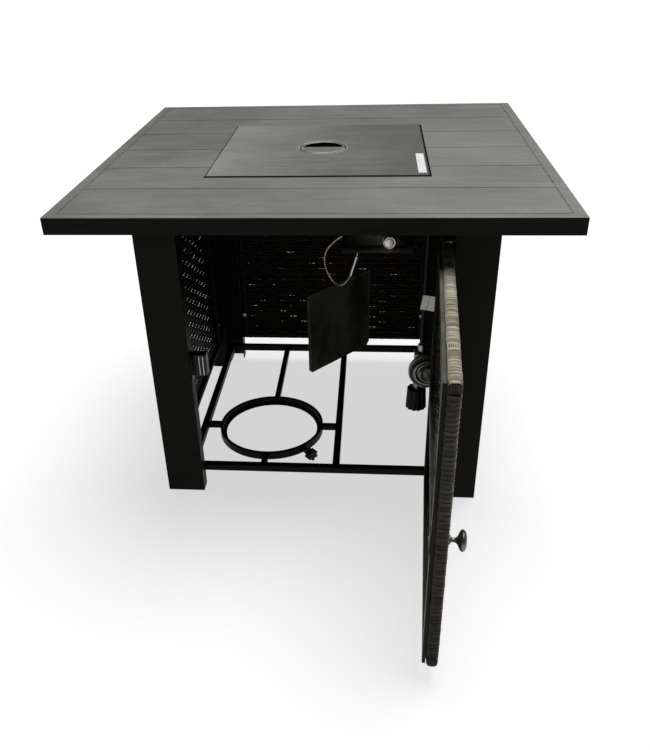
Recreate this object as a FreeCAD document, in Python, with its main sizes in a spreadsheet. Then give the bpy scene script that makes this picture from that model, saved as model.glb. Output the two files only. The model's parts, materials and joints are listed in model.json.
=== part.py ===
import FreeCAD, Part
import math
import os
import re

import Sketcher
from FreeCAD import Placement, Rotation, Vector

# Fire pit table with a gas cylinder bay under it, in millimetres.
# The origin is on the floor, midway between the four feet. +X is to the right of someone who
# faces the door, +Y runs from the door to the back and +Z is up. The door stands open.

SIZES = {
    # Deck: a folded steel tray, pressed to look like six planks in a border
    "deck_side": 813,
    "deck_top": 610,
    "apron_drop": 27,
    "deck_sheet": 2,
    "apron_hem": 12,
    "plank_border": 19,
    "groove_width": 2.4,
    "groove_depth": 0.8,
    "deck_rim_x": 211,
    "deck_rim_y": 212.5,
    "hole_lip": 8,
    # Lid and its round pull
    "lid_gap": 2.5,
    "lid_above_deck": 1.5,
    "lid_fold": 14,
    "lid_sheet": 2,
    "seat_gap": 0.3,
    "pull_radius": 46,
    "pull_rim": 3,
    "pull_rim_up": 1.2,
    "pull_depth": 20,
    "pull_sheet": 1.2,
    "pull_cover_back": 5,
    "label_width": 14,
    "label_length": 127,
    "label_from_side": 5,
    "label_from_front": 14.5,
    "label_sheet": 0.3,
    # Ledge, burner pan and burner
    "ledge_sheet": 2,
    "ledge_inward": 17.5,
    "pan_side_gap": 15,
    "pan_end_gap": 13.5,
    "pan_depth": 73,
    "pan_sheet": 1.5,
    "pan_flange_gap": 1.5,
    "pan_hole_radius": 14,
    "vent_radius": 6,
    "vent_inset": 30,
    "burner_to_side": 60,
    "burner_tube_radius": 8,
    "burner_cross_radius": 7,
    "burner_rise": 27,
    "hub_radius": 16,
    "hub_high": 41,
    "nipple_radius": 10,
    "nipple_drop": 6,
    "orifice_side": 24,
    "orifice_height": 14,
    "feed_radius": 4,
    "feed_bend": 45,
    "electrode_radius": 2,
    "electrode_height": 36,
    "electrode_gap": 9,
    "electrode_y": 24,
    # Legs: folded sheet, L-shaped, with a lip on each free edge
    "leg_inset_x": 100.5,
    "leg_inset_y": 115.5,
    "leg_face": 73,
    "leg_lip_x": 38,
    "leg_lip_y": 27,
    "leg_sheet": 2,
    "foot_side": 40,
    "foot_sheet": 3,
    "foot_hole_radius": 4.25,
    # Base frame and top frame, of square tube
    "tube_side": 14,
    "tube_wall": 1.2,
    "rail_top": 45,
    "header_high": 38,
    "header_deep": 16,
    # Ring that the cylinder's foot stands in
    "ring_from_left": 27,
    "ring_from_front": 30,
    "ring_to_middle": 28,
    "ring_radius": 112,
    "ring_wall": 6.5,
    "ring_high": 16,
    "ring_ledge": 6.5,
    "ring_ledge_sheet": 2.5,
    "stub_side": 12,
    "screw_azimuth": -47,
    "screw_radius": 3,
    "screw_clearance": 0.05,
    "screw_tip_back": 0.5,
    "screw_length": 24,
    "boss_radius": 6,
    "boss_length": 6,
    "screw_in_head": 10,
    "screw_head_radius": 12,
    "screw_head_length": 15,
    "screw_lobes": 6,
    "screw_lobe_radius": 3.5,
    # Woven panels and door: square tube wrapped and filled with flat strand
    "panel_thick": 19,
    "panel_bottom": 57,
    "panel_below_deck": 10,
    "panel_back_set": 6,
    "frame_tube": 13,
    "frame_wall": 1.2,
    "wrap_round": 5,
    "weave_thick": 8,
    "bolt_head_radius": 4.5,
    "bolt_head_high": 2.5,
    "bolt_from_bottom": 70,
    "bolt_from_top": 120,
    # Door
    "door_open": 86.7,
    "door_bottom": 45,
    "door_below_deck": 80,
    "door_proud": 4,
    "door_side_gap": 2.5,
    "door_catch_gap": 2.5,
    "pivot_from_leg": 10.3,
    "pivot_set": 2.7,
    "backing_wide": 20,
    "backing_thick": 5,
    "backing_inset": 4,
    "strike_wide": 21,
    "strike_high": 34,
    "strike_sheet": 1.5,
    "knob_from_end": 29,
    "knob_up": 223,
    "knob_collar_radius": 7,
    "knob_collar_thick": 2,
    "knob_stem_radius": 3.2,
    "knob_reach": 25,
    "knob_head_radius": 15,
    "knob_head_thick": 10,
    "knob_screw_radius": 2,
    "knob_screw_gap": 0.1,
    "pivot_pin_radius": 2.5,
    "pivot_clearance": 0.05,
    "pivot_pin_reach": 12,
    "pivot_shoulder_radius": 5.5,
    "pivot_plate": 3,
    "pivot_plate_gap": 2,
    "pivot_plate_reach": 13,
    "pivot_plate_front": 7,
    "pivot_tab_deep": 17,
    "pivot_tab": 24,
    "pivot_tab_sheet": 1.5,
    # Magnetic catch on the left leg
    "catch_sheet": 1.5,
    "catch_wide": 24,
    "catch_deep": 20,
    "catch_high": 44,
    "catch_lift": 10,
    "pole_sheet": 2,
    "pole_spread": 7,
    "pole_high": 40,
    "pole_inset": 9.5,
    "pole_proud": 1.5,
    # Control panel, valve and igniter
    "control_from_right": 88,
    "control_wide": 121,
    "control_below_deck": 10,
    "control_high": 103,
    "control_sheet": 1.5,
    "control_lip": 8,
    "knob_across": 81,
    "knob_lift": 21,
    "knob_radius": 12,
    "knob_length": 13,
    "knob_bevel": 2,
    "knob_push": 3,
    "stem_radius": 4,
    "stem_in_knob": 7,
    "stem_in_valve": 14,
    "stem_clearance": 0.05,
    "valve_to_left": 11.5,
    "valve_to_right": 26,
    "valve_below": 18,
    "valve_deep": 34,
    "valve_high": 44,
    "valve_boss": 6,
    "valve_boss_step": 1,
    "igniter_across": 56.5,
    "igniter_lift": 39,
    "igniter_radius": 11,
    "igniter_length": 46,
    "button_radius": 8,
    "button_proud": 12,
    "button_inside": 14,
    "button_push": 6,
    "button_clearance": 0.1,
    # Hose, regulator and hand wheel
    "hose_back": 20.5,
    "hose_drop": 213,
    "hose_radius": 4.5,
    "elbow_radius": 7,
    "elbow_reach": 41.5,
    "elbow_lift": 17,
    "elbow_drop": 15,
    "crimp_radius": 7,
    "crimp_high": 14,
    "regulator_right": 10,
    "regulator_radius": 35,
    "regulator_flange": 6,
    "regulator_front": 13,
    "bonnet_radius": 27,
    "cap_radius": 16,
    "cap_length": 7,
    "block_wide": 26,
    "block_deep": 26,
    "block_high": 68,
    "neck_radius": 7.5,
    "neck_length": 12,
    "wheel_left": 6.5,
    "wheel_radius": 22,
    "wheel_length": 41,
    "wheel_bore": 16.7,
    "wheel_web": 9,
    "wheel_recess": 3,
    "wheel_flutes": 12,
    "wheel_flute_radius": 3,
    "wheel_flute_out": 1,
    "neck_clearance": 0.1,
    "neck_stop_radius": 10.5,
    "neck_stop_clearance": 0.5,
    "tag_wide": 26,
    "tag_high": 28,
    "tag_sheet": 0.6,
    "tag_down": 113,
    # Hanging plates and their cable
    "plate_turn": 48.4,
    "plate_wide": 159,
    "plate_high": 155.5,
    "plate_sheet": 1,
    "plate_gap": 0.3,
    "plate_hole_down": 7.5,
    "plate_hole_radius": 5.2,
    "plate_hang": 0.9,
    "plate_cut": 7,
    "plate_shift": 4,
    "cable_radius": 1.3,
    "ferrule_radius": 2.8,
    "hook_radius": 2,
    "hook_out": 45.5,
    "loop_across": 12,
    "loop_lift": 6,
}

# Places worked out from the sizes
PLACES = {
    "deck_half": "deck_side / 2",
    "deck_under": "deck_top - deck_sheet",
    "apron_bottom": "deck_top - apron_drop",
    "hole_x": "deck_half - deck_rim_x",
    "hole_y": "deck_half - deck_rim_y",
    "plank_half": "deck_half - plank_border",
    "plank_pitch": "plank_half / 3",
    "lid_top": "deck_top + lid_above_deck",
    "lid_x": "hole_x - lid_gap",
    "lid_y": "hole_y - lid_gap",
    "lid_bottom": "lid_top - lid_fold",
    "pan_rim_top": "lid_bottom - seat_gap",
    "ledge_top": "pan_rim_top - pan_sheet",
    "ledge_x": "hole_x + deck_sheet",
    "ledge_y": "hole_y + deck_sheet",
    "label_right": "lid_x - label_from_side",
    "label_back": "label_from_front + label_length - lid_y",
    "pan_half_x": "ledge_x - ledge_inward - pan_side_gap",
    "pan_half_y": "ledge_y - ledge_inward - pan_end_gap",
    "pan_floor": "pan_rim_top - pan_depth + pan_sheet",
    "pan_under": "pan_rim_top - pan_depth",
    "orifice_top": "pan_under - nipple_drop",
    "orifice_z": "orifice_top - orifice_height / 2",
    "burner_radius": "pan_half_x - burner_to_side",
    "electrode_x": "burner_radius + burner_tube_radius + electrode_gap",
    "leg_out_x": "deck_half - leg_inset_x",
    "leg_out_y": "deck_half - leg_inset_y",
    "lip_x": "leg_out_x - leg_face",
    "lip_y": "leg_out_y - leg_face",
    "rail_out_x": "leg_out_x - leg_lip_x",
    "rail_out_y": "leg_out_y - leg_lip_y",
    "rail_in_x": "rail_out_x - tube_side",
    "rail_in_y": "rail_out_y - tube_side",
    "rail_bottom": "rail_top - tube_side",
    "ring_x": "ring_from_left + ring_radius - rail_in_x",
    "ring_y": "ring_from_front + ring_radius - rail_in_y",
    "middle_rail_left": "ring_x + ring_radius + ring_to_middle",
    "ring_bottom": "rail_top - ring_high",
    "ring_mid": "rail_top - ring_high / 2",
    "ring_bore": "ring_radius - ring_wall",
    "header_back": "header_deep - rail_out_y",
    "panel_x": "leg_out_x - panel_back_set - panel_thick / 2",
    "panel_y": "leg_out_y - panel_back_set - panel_thick / 2",
    "panel_in_x": "panel_x - panel_thick / 2",
    "panel_in_y": "panel_y - panel_thick / 2",
    "half_thick": "panel_thick / 2",
    "panel_top": "deck_top - panel_below_deck",
    "bolt_low": "panel_bottom + bolt_from_bottom",
    "bolt_high": "panel_top - bolt_from_top",
    "door_top": "deck_top - door_below_deck",
    "pivot_x": "lip_x - pivot_from_leg",
    "pivot_y": "half_thick - leg_out_y - pivot_set - door_proud",
    "door_start": "door_side_gap - pivot_from_leg",
    "door_end": "pivot_x + lip_x - door_catch_gap",
    "backing_face": "-half_thick - backing_thick",
    "strike_face": "backing_face - strike_sheet",
    "strike_u": "door_end - backing_inset - strike_wide / 2",
    "knob_u": "door_end - knob_from_end",
    "catch_height": "door_bottom + knob_up",
    "catch_face": "pivot_y + pivot_set - strike_face + seat_gap",
    "catch_x": "catch_sheet - lip_x + catch_wide - pole_inset",
    "catch_z": "catch_height + catch_lift",
    "control_face": "header_back",
    "control_back": "header_back + control_sheet",
    "control_right": "rail_in_x - control_from_right",
    "control_left": "control_right - control_wide",
    "control_top": "deck_top - control_below_deck",
    "control_bottom": "control_top - control_high",
    "control_bend": "control_bottom + control_lip",
    "knob_x": "control_left + knob_across",
    "knob_z": "control_bottom + knob_lift",
    "igniter_x": "control_left + igniter_across",
    "igniter_z": "control_bottom + igniter_lift",
    "loop_x": "control_left + loop_across",
    "loop_z": "control_bottom + loop_lift",
    "elbow_z": "knob_z + elbow_lift",
    "hose_x": "knob_x + valve_to_right + elbow_reach",
    "hose_y": "control_back + hose_back",
    "hose_top": "elbow_z - elbow_drop",
    "regulator_x": "hose_x + regulator_right",
    "wheel_x": "hose_x - wheel_left",
    "valve_front": "control_back + valve_boss",
    "valve_back": "valve_front + valve_deep",
    "knob_back": "control_face - knob_push - seat_gap",
    "block_top": "hose_top - hose_drop - crimp_high",
    "regulator_z": "block_top - block_high / 2",
    "wheel_top": "block_top - block_high - neck_length",
    "wheel_bottom": "wheel_top - wheel_length",
    "disc_back": "hose_y - block_deep / 2",
    "disc_front": "disc_back - regulator_front",
}

WORD = re.compile(r"[a-z][a-z_]*[a-z]")
FUNCTIONS = {"sin", "cos", "tan", "sqrt", "deg", "mm", "abs"}

doc = FreeCAD.newDocument("FirePitTable")
sheet = doc.addObject("Spreadsheet::Sheet", "Sizes")
for row, (alias, size) in enumerate(SIZES.items(), start=1):
    sheet.set(f"A{row}", alias)
    sheet.set(f"B{row}", str(size))
    sheet.setAlias(f"B{row}", alias)
doc.recompute()


def linked(text):
    """The expression with each size and place named in full."""

    def full(match):
        word = match.group(0)
        if word in SIZES:
            return "Sizes." + word
        if word in PLACES:
            return "Places." + word
        if word in FUNCTIONS:
            return word
        raise KeyError(word)

    return WORD.sub(full, str(text))


places = doc.addObject("App::VarSet", "Places")
for place in PLACES:
    places.addProperty("App::PropertyFloat", place)
for place, text in PLACES.items():
    places.setExpression(place, linked(text))
doc.recompute()


def value(name):
    """A size or place as a number, for the pieces that are drawn point by point."""
    return float(sheet.get(name)) if name in SIZES else float(getattr(places, name))


def bind(thing, **properties):
    for name, text in properties.items():
        name = {"x": "Placement.Base.x", "y": "Placement.Base.y", "z": "Placement.Base.z"}.get(name, name)
        thing.setExpression(name, linked(text))
    return thing


kept = {}


def keep(node, thing):
    """Names the finished piece, which gets a file of its own."""
    thing.Label = node
    kept[node] = thing
    return thing


def box(x, y, z):
    """A block between two values on each axis."""
    block = doc.addObject("Part::Box", "Block")
    sides = {
        "Length": f"({x[1]}) - ({x[0]})",
        "Width": f"({y[1]}) - ({y[0]})",
        "Height": f"({z[1]}) - ({z[0]})",
    }
    bind(block, x=x[0], y=y[0], z=z[0])
    return bind(block, **sides)


TURNS = {
    "+Z": Rotation(),
    "-Z": Rotation(Vector(1, 0, 0), 180),
    "+X": Rotation(Vector(0, 1, 0), 90),
    "-X": Rotation(Vector(0, 1, 0), -90),
    "+Y": Rotation(Vector(1, 0, 0), -90),
    "-Y": Rotation(Vector(1, 0, 0), 90),
}


def rod(start, axis, radius, length):
    """A round bar from a start point along a row axis."""
    bar = doc.addObject("Part::Cylinder", "Rod")
    bar.Placement = Placement(Vector(), TURNS[axis])
    bind(bar, x=start[0], y=start[1], z=start[2])
    return bind(bar, Radius=radius, Height=length)


def cut(base, *tools):
    for tool in tools:
        piece = doc.addObject("Part::Cut", "Cut")
        piece.Base = base
        piece.Tool = tool
        base = piece
    return base


def fuse(*pieces):
    joined = doc.addObject("Part::MultiFuse", "Fusion")
    joined.Shapes = list(pieces)
    joined.Refine = True
    return joined


def together(*pieces):
    """Several loose solids of one kind in one node."""
    group = doc.addObject("Part::Compound", "Group")
    group.Links = list(pieces)
    return group


def hollow(x, y, z, wall, along):
    """A square tube that is open at both ends, which lie on the axis named by along."""
    spans = {"x": x, "y": y, "z": z}
    inner = {
        axis: (lo, hi) if axis == along else (f"{lo} + {wall}", f"{hi} - {wall}")
        for axis, (lo, hi) in spans.items()
    }
    return cut(box(x, y, z), box(inner["x"], inner["y"], inner["z"]))


def sketch_on(body, plane):
    """An empty sketch on one of the body's own origin planes."""
    sketch = body.newObject("Sketcher::SketchObject", "Profile")
    base = next(f for f in body.Origin.OriginFeatures if f.Role == plane)
    sketch.AttachmentSupport = [(base, "")]
    sketch.MapMode = "FlatFace"
    return sketch


def outline(body, plane, corners):
    """A closed outline of straight sides, each corner held to its place by two expressions."""
    sketch = sketch_on(body, plane)
    count = len(corners)
    turns = [2 * math.pi * i / count for i in range(count)]
    rough = [Vector(math.cos(turn), math.sin(turn), 0) * value("tube_side") for turn in turns]
    for i in range(count):
        sketch.addGeometry(Part.LineSegment(rough[i], rough[(i + 1) % count]))
    for i in range(count):
        sketch.addConstraint(Sketcher.Constraint("Coincident", i, 2, (i + 1) % count, 1))
    for i, (across, up) in enumerate(corners):
        for kind, text in (("DistanceX", across), ("DistanceY", up)):
            held = sketch.addConstraint(Sketcher.Constraint(kind, -1, 1, i, 1, rough[i].x))
            sketch.setExpression(f"Constraints[{held}]", linked(text))
    return sketch


def prism(name, corners, low, high):
    """A plan outline raised between two heights."""
    body = doc.addObject("PartDesign::Body", name)
    pad = body.newObject("PartDesign::Pad", "Pad")
    pad.Profile = outline(body, "XY_Plane", corners)
    bind(pad, Length=f"({high}) - ({low})")
    bind(body, z=low)
    return body


def turned(name, corners):
    """A profile of radius and height turned about the body's own Z axis."""
    body = doc.addObject("PartDesign::Body", name)
    sketch = outline(body, "XZ_Plane", corners)
    spin = body.newObject("PartDesign::Revolution", "Turn")
    spin.Profile = sketch
    spin.ReferenceAxis = (sketch, ["V_Axis"])
    spin.Angle = 360
    return body


def rectangle(x, y):
    return [(x[0], y[0]), (x[1], y[0]), (x[1], y[1]), (x[0], y[1])]


def make_deck():
    tray = cut(
        box(("-deck_half", "deck_half"), ("-deck_half", "deck_half"), ("apron_bottom", "deck_top")),
        box(
            ("deck_sheet - deck_half", "deck_half - deck_sheet"),
            ("deck_sheet - deck_half", "deck_half - deck_sheet"),
            ("apron_bottom + deck_sheet", "deck_under"),
        ),
        box(
            ("apron_hem - deck_half", "deck_half - apron_hem"),
            ("apron_hem - deck_half", "deck_half - apron_hem"),
            ("apron_bottom", "apron_bottom + deck_sheet"),
        ),
    )
    lip = box(("-ledge_x", "ledge_x"), ("-ledge_y", "ledge_y"), ("deck_under - hole_lip", "deck_under"))
    hole = box(("-hole_x", "hole_x"), ("-hole_y", "hole_y"), ("apron_bottom", "deck_top + deck_sheet"))
    deck = cut(fuse(tray, lip), hole)
    groove_z = ("deck_top - groove_depth", "deck_top + deck_sheet")
    half = "groove_width / 2"
    grooves = []
    for side in (-1, 1):
        across = (f"{side} * plank_half - {half}", f"{side} * plank_half + {half}")
        whole = (f"-plank_half - {half}", f"plank_half + {half}")
        grooves.append(box(across, whole, groove_z))
        grooves.append(box(whole, across, groove_z))
        long_y = (f"{side} * 2 * plank_pitch - {half}", f"{side} * 2 * plank_pitch + {half}")
        grooves.append(box(whole, long_y, groove_z))
        beside = ("-plank_half", "-hole_x") if side < 0 else ("hole_x", "plank_half")
        for step in (-1, 0, 1):
            short_y = (f"{step} * plank_pitch - {half}", f"{step} * plank_pitch + {half}")
            grooves.append(box(beside, short_y, groove_z))
    keep("table_top", cut(deck, fuse(*grooves)))


def make_lid():
    shell = cut(
        box(("-lid_x", "lid_x"), ("-lid_y", "lid_y"), ("lid_bottom", "lid_top")),
        box(
            ("lid_sheet - lid_x", "lid_x - lid_sheet"),
            ("lid_sheet - lid_y", "lid_y - lid_sheet"),
            ("lid_bottom", "lid_top - lid_sheet"),
        ),
        rod(("0", "0", "lid_bottom"), "+Z", "pull_radius", "2 * lid_fold"),
    )
    keep("lid_panel", shell)
    cup_bottom = "lid_top - pull_depth"
    cup = turned(
        "PullCup",
        [
            ("0", cup_bottom),
            ("pull_radius", cup_bottom),
            ("pull_radius", "lid_top"),
            ("pull_radius + pull_rim", "lid_top"),
            ("pull_radius + pull_rim", "lid_top + pull_rim_up"),
            ("pull_radius - pull_sheet", "lid_top + pull_rim_up"),
            ("pull_radius - pull_sheet", f"{cup_bottom} + pull_sheet"),
            ("0", f"{cup_bottom} + pull_sheet"),
        ],
    )
    plate = rod(("0", "0", "lid_top - pull_sheet"), "+Z", "pull_radius - pull_sheet / 2", "pull_sheet")
    behind = box(
        ("-pull_radius", "pull_radius"),
        ("pull_cover_back", "pull_radius + pull_rim"),
        ("lid_top - lid_fold", "lid_top + lid_fold"),
    )
    keep("lid_pull", fuse(cup, cut(plate, behind)))
    keep(
        "lid_label",
        box(
            ("label_right - label_width", "label_right"),
            ("label_back - label_length", "label_back"),
            ("lid_top", "lid_top + label_sheet"),
        ),
    )


def make_burner():
    ledge_bottom = "ledge_top - ledge_sheet"
    outer = box(
        ("-ledge_x - ledge_sheet", "ledge_x + ledge_sheet"),
        ("-ledge_y - ledge_sheet", "ledge_y + ledge_sheet"),
        (ledge_bottom, "deck_under"),
    )
    wall = box(("-ledge_x", "ledge_x"), ("-ledge_y", "ledge_y"), ("ledge_top", "deck_under"))
    through = box(
        ("ledge_inward - ledge_x", "ledge_x - ledge_inward"),
        ("ledge_inward - ledge_y", "ledge_y - ledge_inward"),
        (ledge_bottom, "deck_under"),
    )
    keep("lid_ledge", cut(outer, wall, through))

    rim_x = "hole_x - pan_flange_gap"
    rim_y = "hole_y - pan_flange_gap"
    rim = box((f"-({rim_x})", rim_x), (f"-({rim_y})", rim_y), ("ledge_top", "pan_rim_top"))
    tub_x, tub_y = ("-pan_half_x", "pan_half_x"), ("-pan_half_y", "pan_half_y")
    tub = box(tub_x, tub_y, ("pan_under", "pan_rim_top"))
    inside_x = ("pan_sheet - pan_half_x", "pan_half_x - pan_sheet")
    inside_y = ("pan_sheet - pan_half_y", "pan_half_y - pan_sheet")
    bowl = box(inside_x, inside_y, ("pan_floor", "pan_rim_top + pan_sheet"))
    centre = rod(("0", "0", "pan_under - pan_sheet"), "+Z", "pan_hole_radius", "3 * pan_sheet")
    vents = []
    for sx, sy in ((-1, -1), (-1, 1), (1, -1), (1, 1)):
        at = (f"{sx} * (pan_half_x - vent_inset)", f"{sy} * (pan_half_y - vent_inset)")
        vents.append(rod((*at, "pan_under - pan_sheet"), "+Z", "vent_radius", "3 * pan_sheet"))
    keep("burner_pan", cut(fuse(rim, tub), bowl, centre, *vents))

    ring = doc.addObject("Part::Torus", "BurnerRing")
    bind(ring, Radius1="burner_radius", Radius2="burner_tube_radius", z="pan_floor + burner_rise")
    cross_start = ("-burner_radius", "0", "pan_floor + burner_rise")
    cross = rod(cross_start, "+X", "burner_cross_radius", "2 * burner_radius")
    hub = rod(("0", "0", "pan_floor"), "+Z", "hub_radius", "hub_high")
    nipple = rod(("0", "0", "orifice_top"), "+Z", "nipple_radius", "pan_floor - orifice_top + burner_rise")
    keep("burner", fuse(ring, cross, hub, nipple))
    square = ("-orifice_side / 2", "orifice_side / 2")
    keep("orifice_block", box(square, square, ("orifice_top - orifice_height", "orifice_top")))
    pins = []
    for sign in (-1, 1):
        at = ("electrode_x", f"{sign} * electrode_y", "pan_floor")
        insulator = rod(at, "+Z", "3 * electrode_radius", "electrode_height / 3")
        pins.append(fuse(rod(at, "+Z", "electrode_radius", "electrode_height"), insulator))
    keep("electrode_pins", together(*pins))


def make_legs():
    corners = [
        ("leg_out_x", "leg_out_y"),
        ("leg_out_x", "lip_y"),
        ("rail_out_x", "lip_y"),
        ("rail_out_x", "lip_y + leg_sheet"),
        ("leg_out_x - leg_sheet", "lip_y + leg_sheet"),
        ("leg_out_x - leg_sheet", "leg_out_y - leg_sheet"),
        ("lip_x + leg_sheet", "leg_out_y - leg_sheet"),
        ("lip_x + leg_sheet", "rail_out_y"),
        ("lip_x", "rail_out_y"),
        ("lip_x", "leg_out_y"),
    ]
    feet = []
    for side, sx in (("left", -1), ("right", 1)):
        for end, sy in (("front", -1), ("back", 1)):
            placed = [(f"{sx} * ({across})", f"{sy} * ({up})") for across, up in corners]
            keep(f"leg_{end}_{side}", prism("Leg", placed, "0", "deck_under"))
            near_x = f"{sx} * (leg_out_x - leg_sheet)"
            near_y = f"{sy} * (leg_out_y - leg_sheet)"
            far_x = f"{sx} * (leg_out_x - leg_sheet - foot_side)"
            far_y = f"{sy} * (leg_out_y - leg_sheet - foot_side)"
            x = (near_x, far_x) if sx < 0 else (far_x, near_x)
            y = (near_y, far_y) if sy < 0 else (far_y, near_y)
            hole_x = f"{sx} * (leg_out_x - leg_sheet - foot_side / 2)"
            hole_y = f"{sy} * (leg_out_y - leg_sheet - foot_side / 2)"
            hole = rod((hole_x, hole_y, "-foot_sheet"), "+Z", "foot_hole_radius", "3 * foot_sheet")
            feet.append(cut(box(x, y, ("0", "foot_sheet")), hole))
    keep("foot_plates", together(*feet))


def make_rails():
    long_x = ("-rail_out_x", "rail_out_x")
    short_y = ("-rail_in_y", "rail_in_y")
    front = ("-rail_out_y", "-rail_in_y")
    back = ("rail_in_y", "rail_out_y")
    left = ("-rail_out_x", "-rail_in_x")
    right = ("rail_in_x", "rail_out_x")
    middle = ("middle_rail_left", "middle_rail_left + tube_side")
    low = ("rail_bottom", "rail_top")
    high = ("deck_under - tube_side", "deck_under")
    top_y = ("header_back", "rail_in_y")
    for node, along, bars in (
        ("base_rails_cross", "x", ((long_x, front, low), (long_x, back, low))),
        ("base_rails_side", "y", ((left, short_y, low), (right, short_y, low), (middle, short_y, low))),
        ("top_rail_back", "x", ((long_x, back, high),)),
        ("top_rails_side", "y", ((left, top_y, high), (right, top_y, high))),
    ):
        keep(node, together(*[hollow(x, y, z, "tube_wall", along) for x, y, z in bars]))
    header = ("deck_under - header_high", "deck_under")
    keep("header_rail", hollow(long_x, ("-rail_out_y", "header_back"), header, "tube_wall", "x"))


def in_ring(thing):
    """Moves a piece that was drawn about the ring's axis to its place."""
    return bind(thing, x="ring_x", y="ring_y")


def along_screw(start, radius, length):
    """A round bar on the clamp screw's axis, from a distance off the ring's centre outwards."""
    bar = doc.addObject("Part::Cylinder", "ScrewPart")
    angle = value("screw_azimuth")
    bar.Placement = Placement(Vector(), Rotation(Vector(0, 0, 1), angle).multiply(TURNS["+X"]))
    bind(
        bar,
        x=f"ring_x + ({start}) * cos(screw_azimuth * 1 deg)",
        y=f"ring_y + ({start}) * sin(screw_azimuth * 1 deg)",
        z="ring_mid",
    )
    return bind(bar, Radius=radius, Height=length)


def make_ring():
    band = turned(
        "RingBand",
        [
            ("ring_bore - ring_ledge", "ring_bottom"),
            ("ring_radius", "ring_bottom"),
            ("ring_radius", "rail_top"),
            ("ring_bore", "rail_top"),
            ("ring_bore", "ring_bottom + ring_ledge_sheet"),
            ("ring_bore - ring_ledge", "ring_bottom + ring_ledge_sheet"),
        ],
    )
    in_ring(band)
    bore = along_screw("ring_bore - ring_wall", "screw_radius + screw_clearance", "4 * ring_wall")
    keep("tank_ring", cut(band, bore))

    def ring_disc():
        below = ("ring_x", "ring_y", "ring_bottom - tube_side")
        return rod(below, "+Z", "ring_radius", "2 * tube_side + ring_high")

    half = "stub_side / 2"
    z = ("rail_top - stub_side", "rail_top")
    across_x = (f"ring_x - {half}", f"ring_x + {half}")
    across_y = (f"ring_y - {half}", f"ring_y + {half}")
    left = box(("-rail_in_x", "ring_x - ring_bore"), across_y, z)
    right = box(("ring_x + ring_bore", "middle_rail_left"), across_y, z)
    front = box(across_x, ("-rail_in_y", "ring_y - ring_bore"), z)
    back = box(across_x, ("ring_y + ring_bore", "rail_in_y"), z)
    keep("ring_stubs", together(*[cut(stub, ring_disc()) for stub in (left, right, front, back)]))

    boss = along_screw("ring_bore", "boss_radius", "ring_wall + boss_length")
    screw_bore = along_screw("ring_bore - ring_wall", "screw_radius + screw_clearance", "6 * ring_wall")
    keep("ring_screw_boss", cut(boss, ring_disc(), screw_bore))
    screw_whole = "screw_length + screw_in_head"
    keep("ring_screw", along_screw("ring_bore + screw_tip_back", "screw_radius", screw_whole))
    head_start = "ring_bore + screw_tip_back + screw_length"
    head = along_screw(head_start, "screw_head_radius", "screw_head_length")
    flute_start = f"{head_start} - screw_lobe_radius"
    lobes = []
    for i in range(int(value("screw_lobes"))):
        flute = along_screw(flute_start, "screw_lobe_radius", "screw_head_length + 2 * screw_lobe_radius")
        turn = Rotation(flute.Placement.Rotation)
        around = 2 * math.pi * (i + 0.5) / value("screw_lobes")
        side = turn.multVec(Vector(math.cos(around), math.sin(around), 0))
        bind(
            flute,
            x=f"ring_x + ({flute_start}) * cos(screw_azimuth * 1 deg) + screw_head_radius * ({side.x})",
            y=f"ring_y + ({flute_start}) * sin(screw_azimuth * 1 deg) + screw_head_radius * ({side.y})",
            z=f"ring_mid + screw_head_radius * ({side.z})",
        )
        lobes.append(flute)
    socket = along_screw(head_start, "screw_radius + screw_clearance", "screw_in_head + seat_gap")
    keep("ring_screw_head", cut(head, fuse(*lobes), socket))


def rounded_prism(name, u, w, low, high):
    """A plan rectangle raised between two heights, its upright edges rounded."""
    body = prism(name, rectangle(u, w), low, high)
    doc.recompute()
    pad = body.Tip
    upright = [
        f"Edge{i}"
        for i, edge in enumerate(pad.Shape.Edges, start=1)
        if abs(edge.Vertexes[0].Z - edge.Vertexes[-1].Z) > value("wrap_round")
    ]
    rounding = body.newObject("PartDesign::Fillet", "Rounding")
    rounding.Base = (pad, upright)
    bind(rounding, Radius="wrap_round")
    return body


def woven(u, low, high):
    """The tube frame and the strand round and across it, drawn along X with Y as thickness."""
    skin = "(panel_thick - frame_tube) / 2"
    lo_u, hi_u = f"({u[0]}) + {skin}", f"({u[1]}) - {skin}"
    lo_z, hi_z = f"({low}) + {skin}", f"({high}) - {skin}"
    tube_w = ("-frame_tube / 2", "frame_tube / 2")
    bar = "frame_tube"

    def ring(inset, w):
        outer = box((f"{lo_u} + {inset}", f"{hi_u} - {inset}"), w, (f"{lo_z} + {inset}", f"{hi_z} - {inset}"))
        inner_u = (f"{lo_u} + {bar} - {inset}", f"{hi_u} - {bar} + {inset}")
        inner_z = (f"{lo_z} + {bar} - {inset}", f"{hi_z} - {bar} + {inset}")
        return cut(outer, box(inner_u, w, inner_z))

    bore_w = ("frame_wall - frame_tube / 2", "frame_tube / 2 - frame_wall")
    frame = cut(ring("0", tube_w), ring("frame_wall", bore_w))
    wrap = rounded_prism("Wrap", u, ("-half_thick", "half_thick"), low, high)
    side_u = (f"{lo_u} + {bar} + {skin}", f"{hi_u} - {bar} - {skin}")
    side_z = (f"{lo_z} + {bar} + {skin}", f"{hi_z} - {bar} - {skin}")
    recesses = [
        box(side_u, (f"{a}", f"{b}"), side_z)
        for a, b in (("weave_thick / 2", "panel_thick"), ("-panel_thick", "-weave_thick / 2"))
    ]
    weave = cut(wrap, ring("0", tube_w), *recesses)
    return frame, weave


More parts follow.
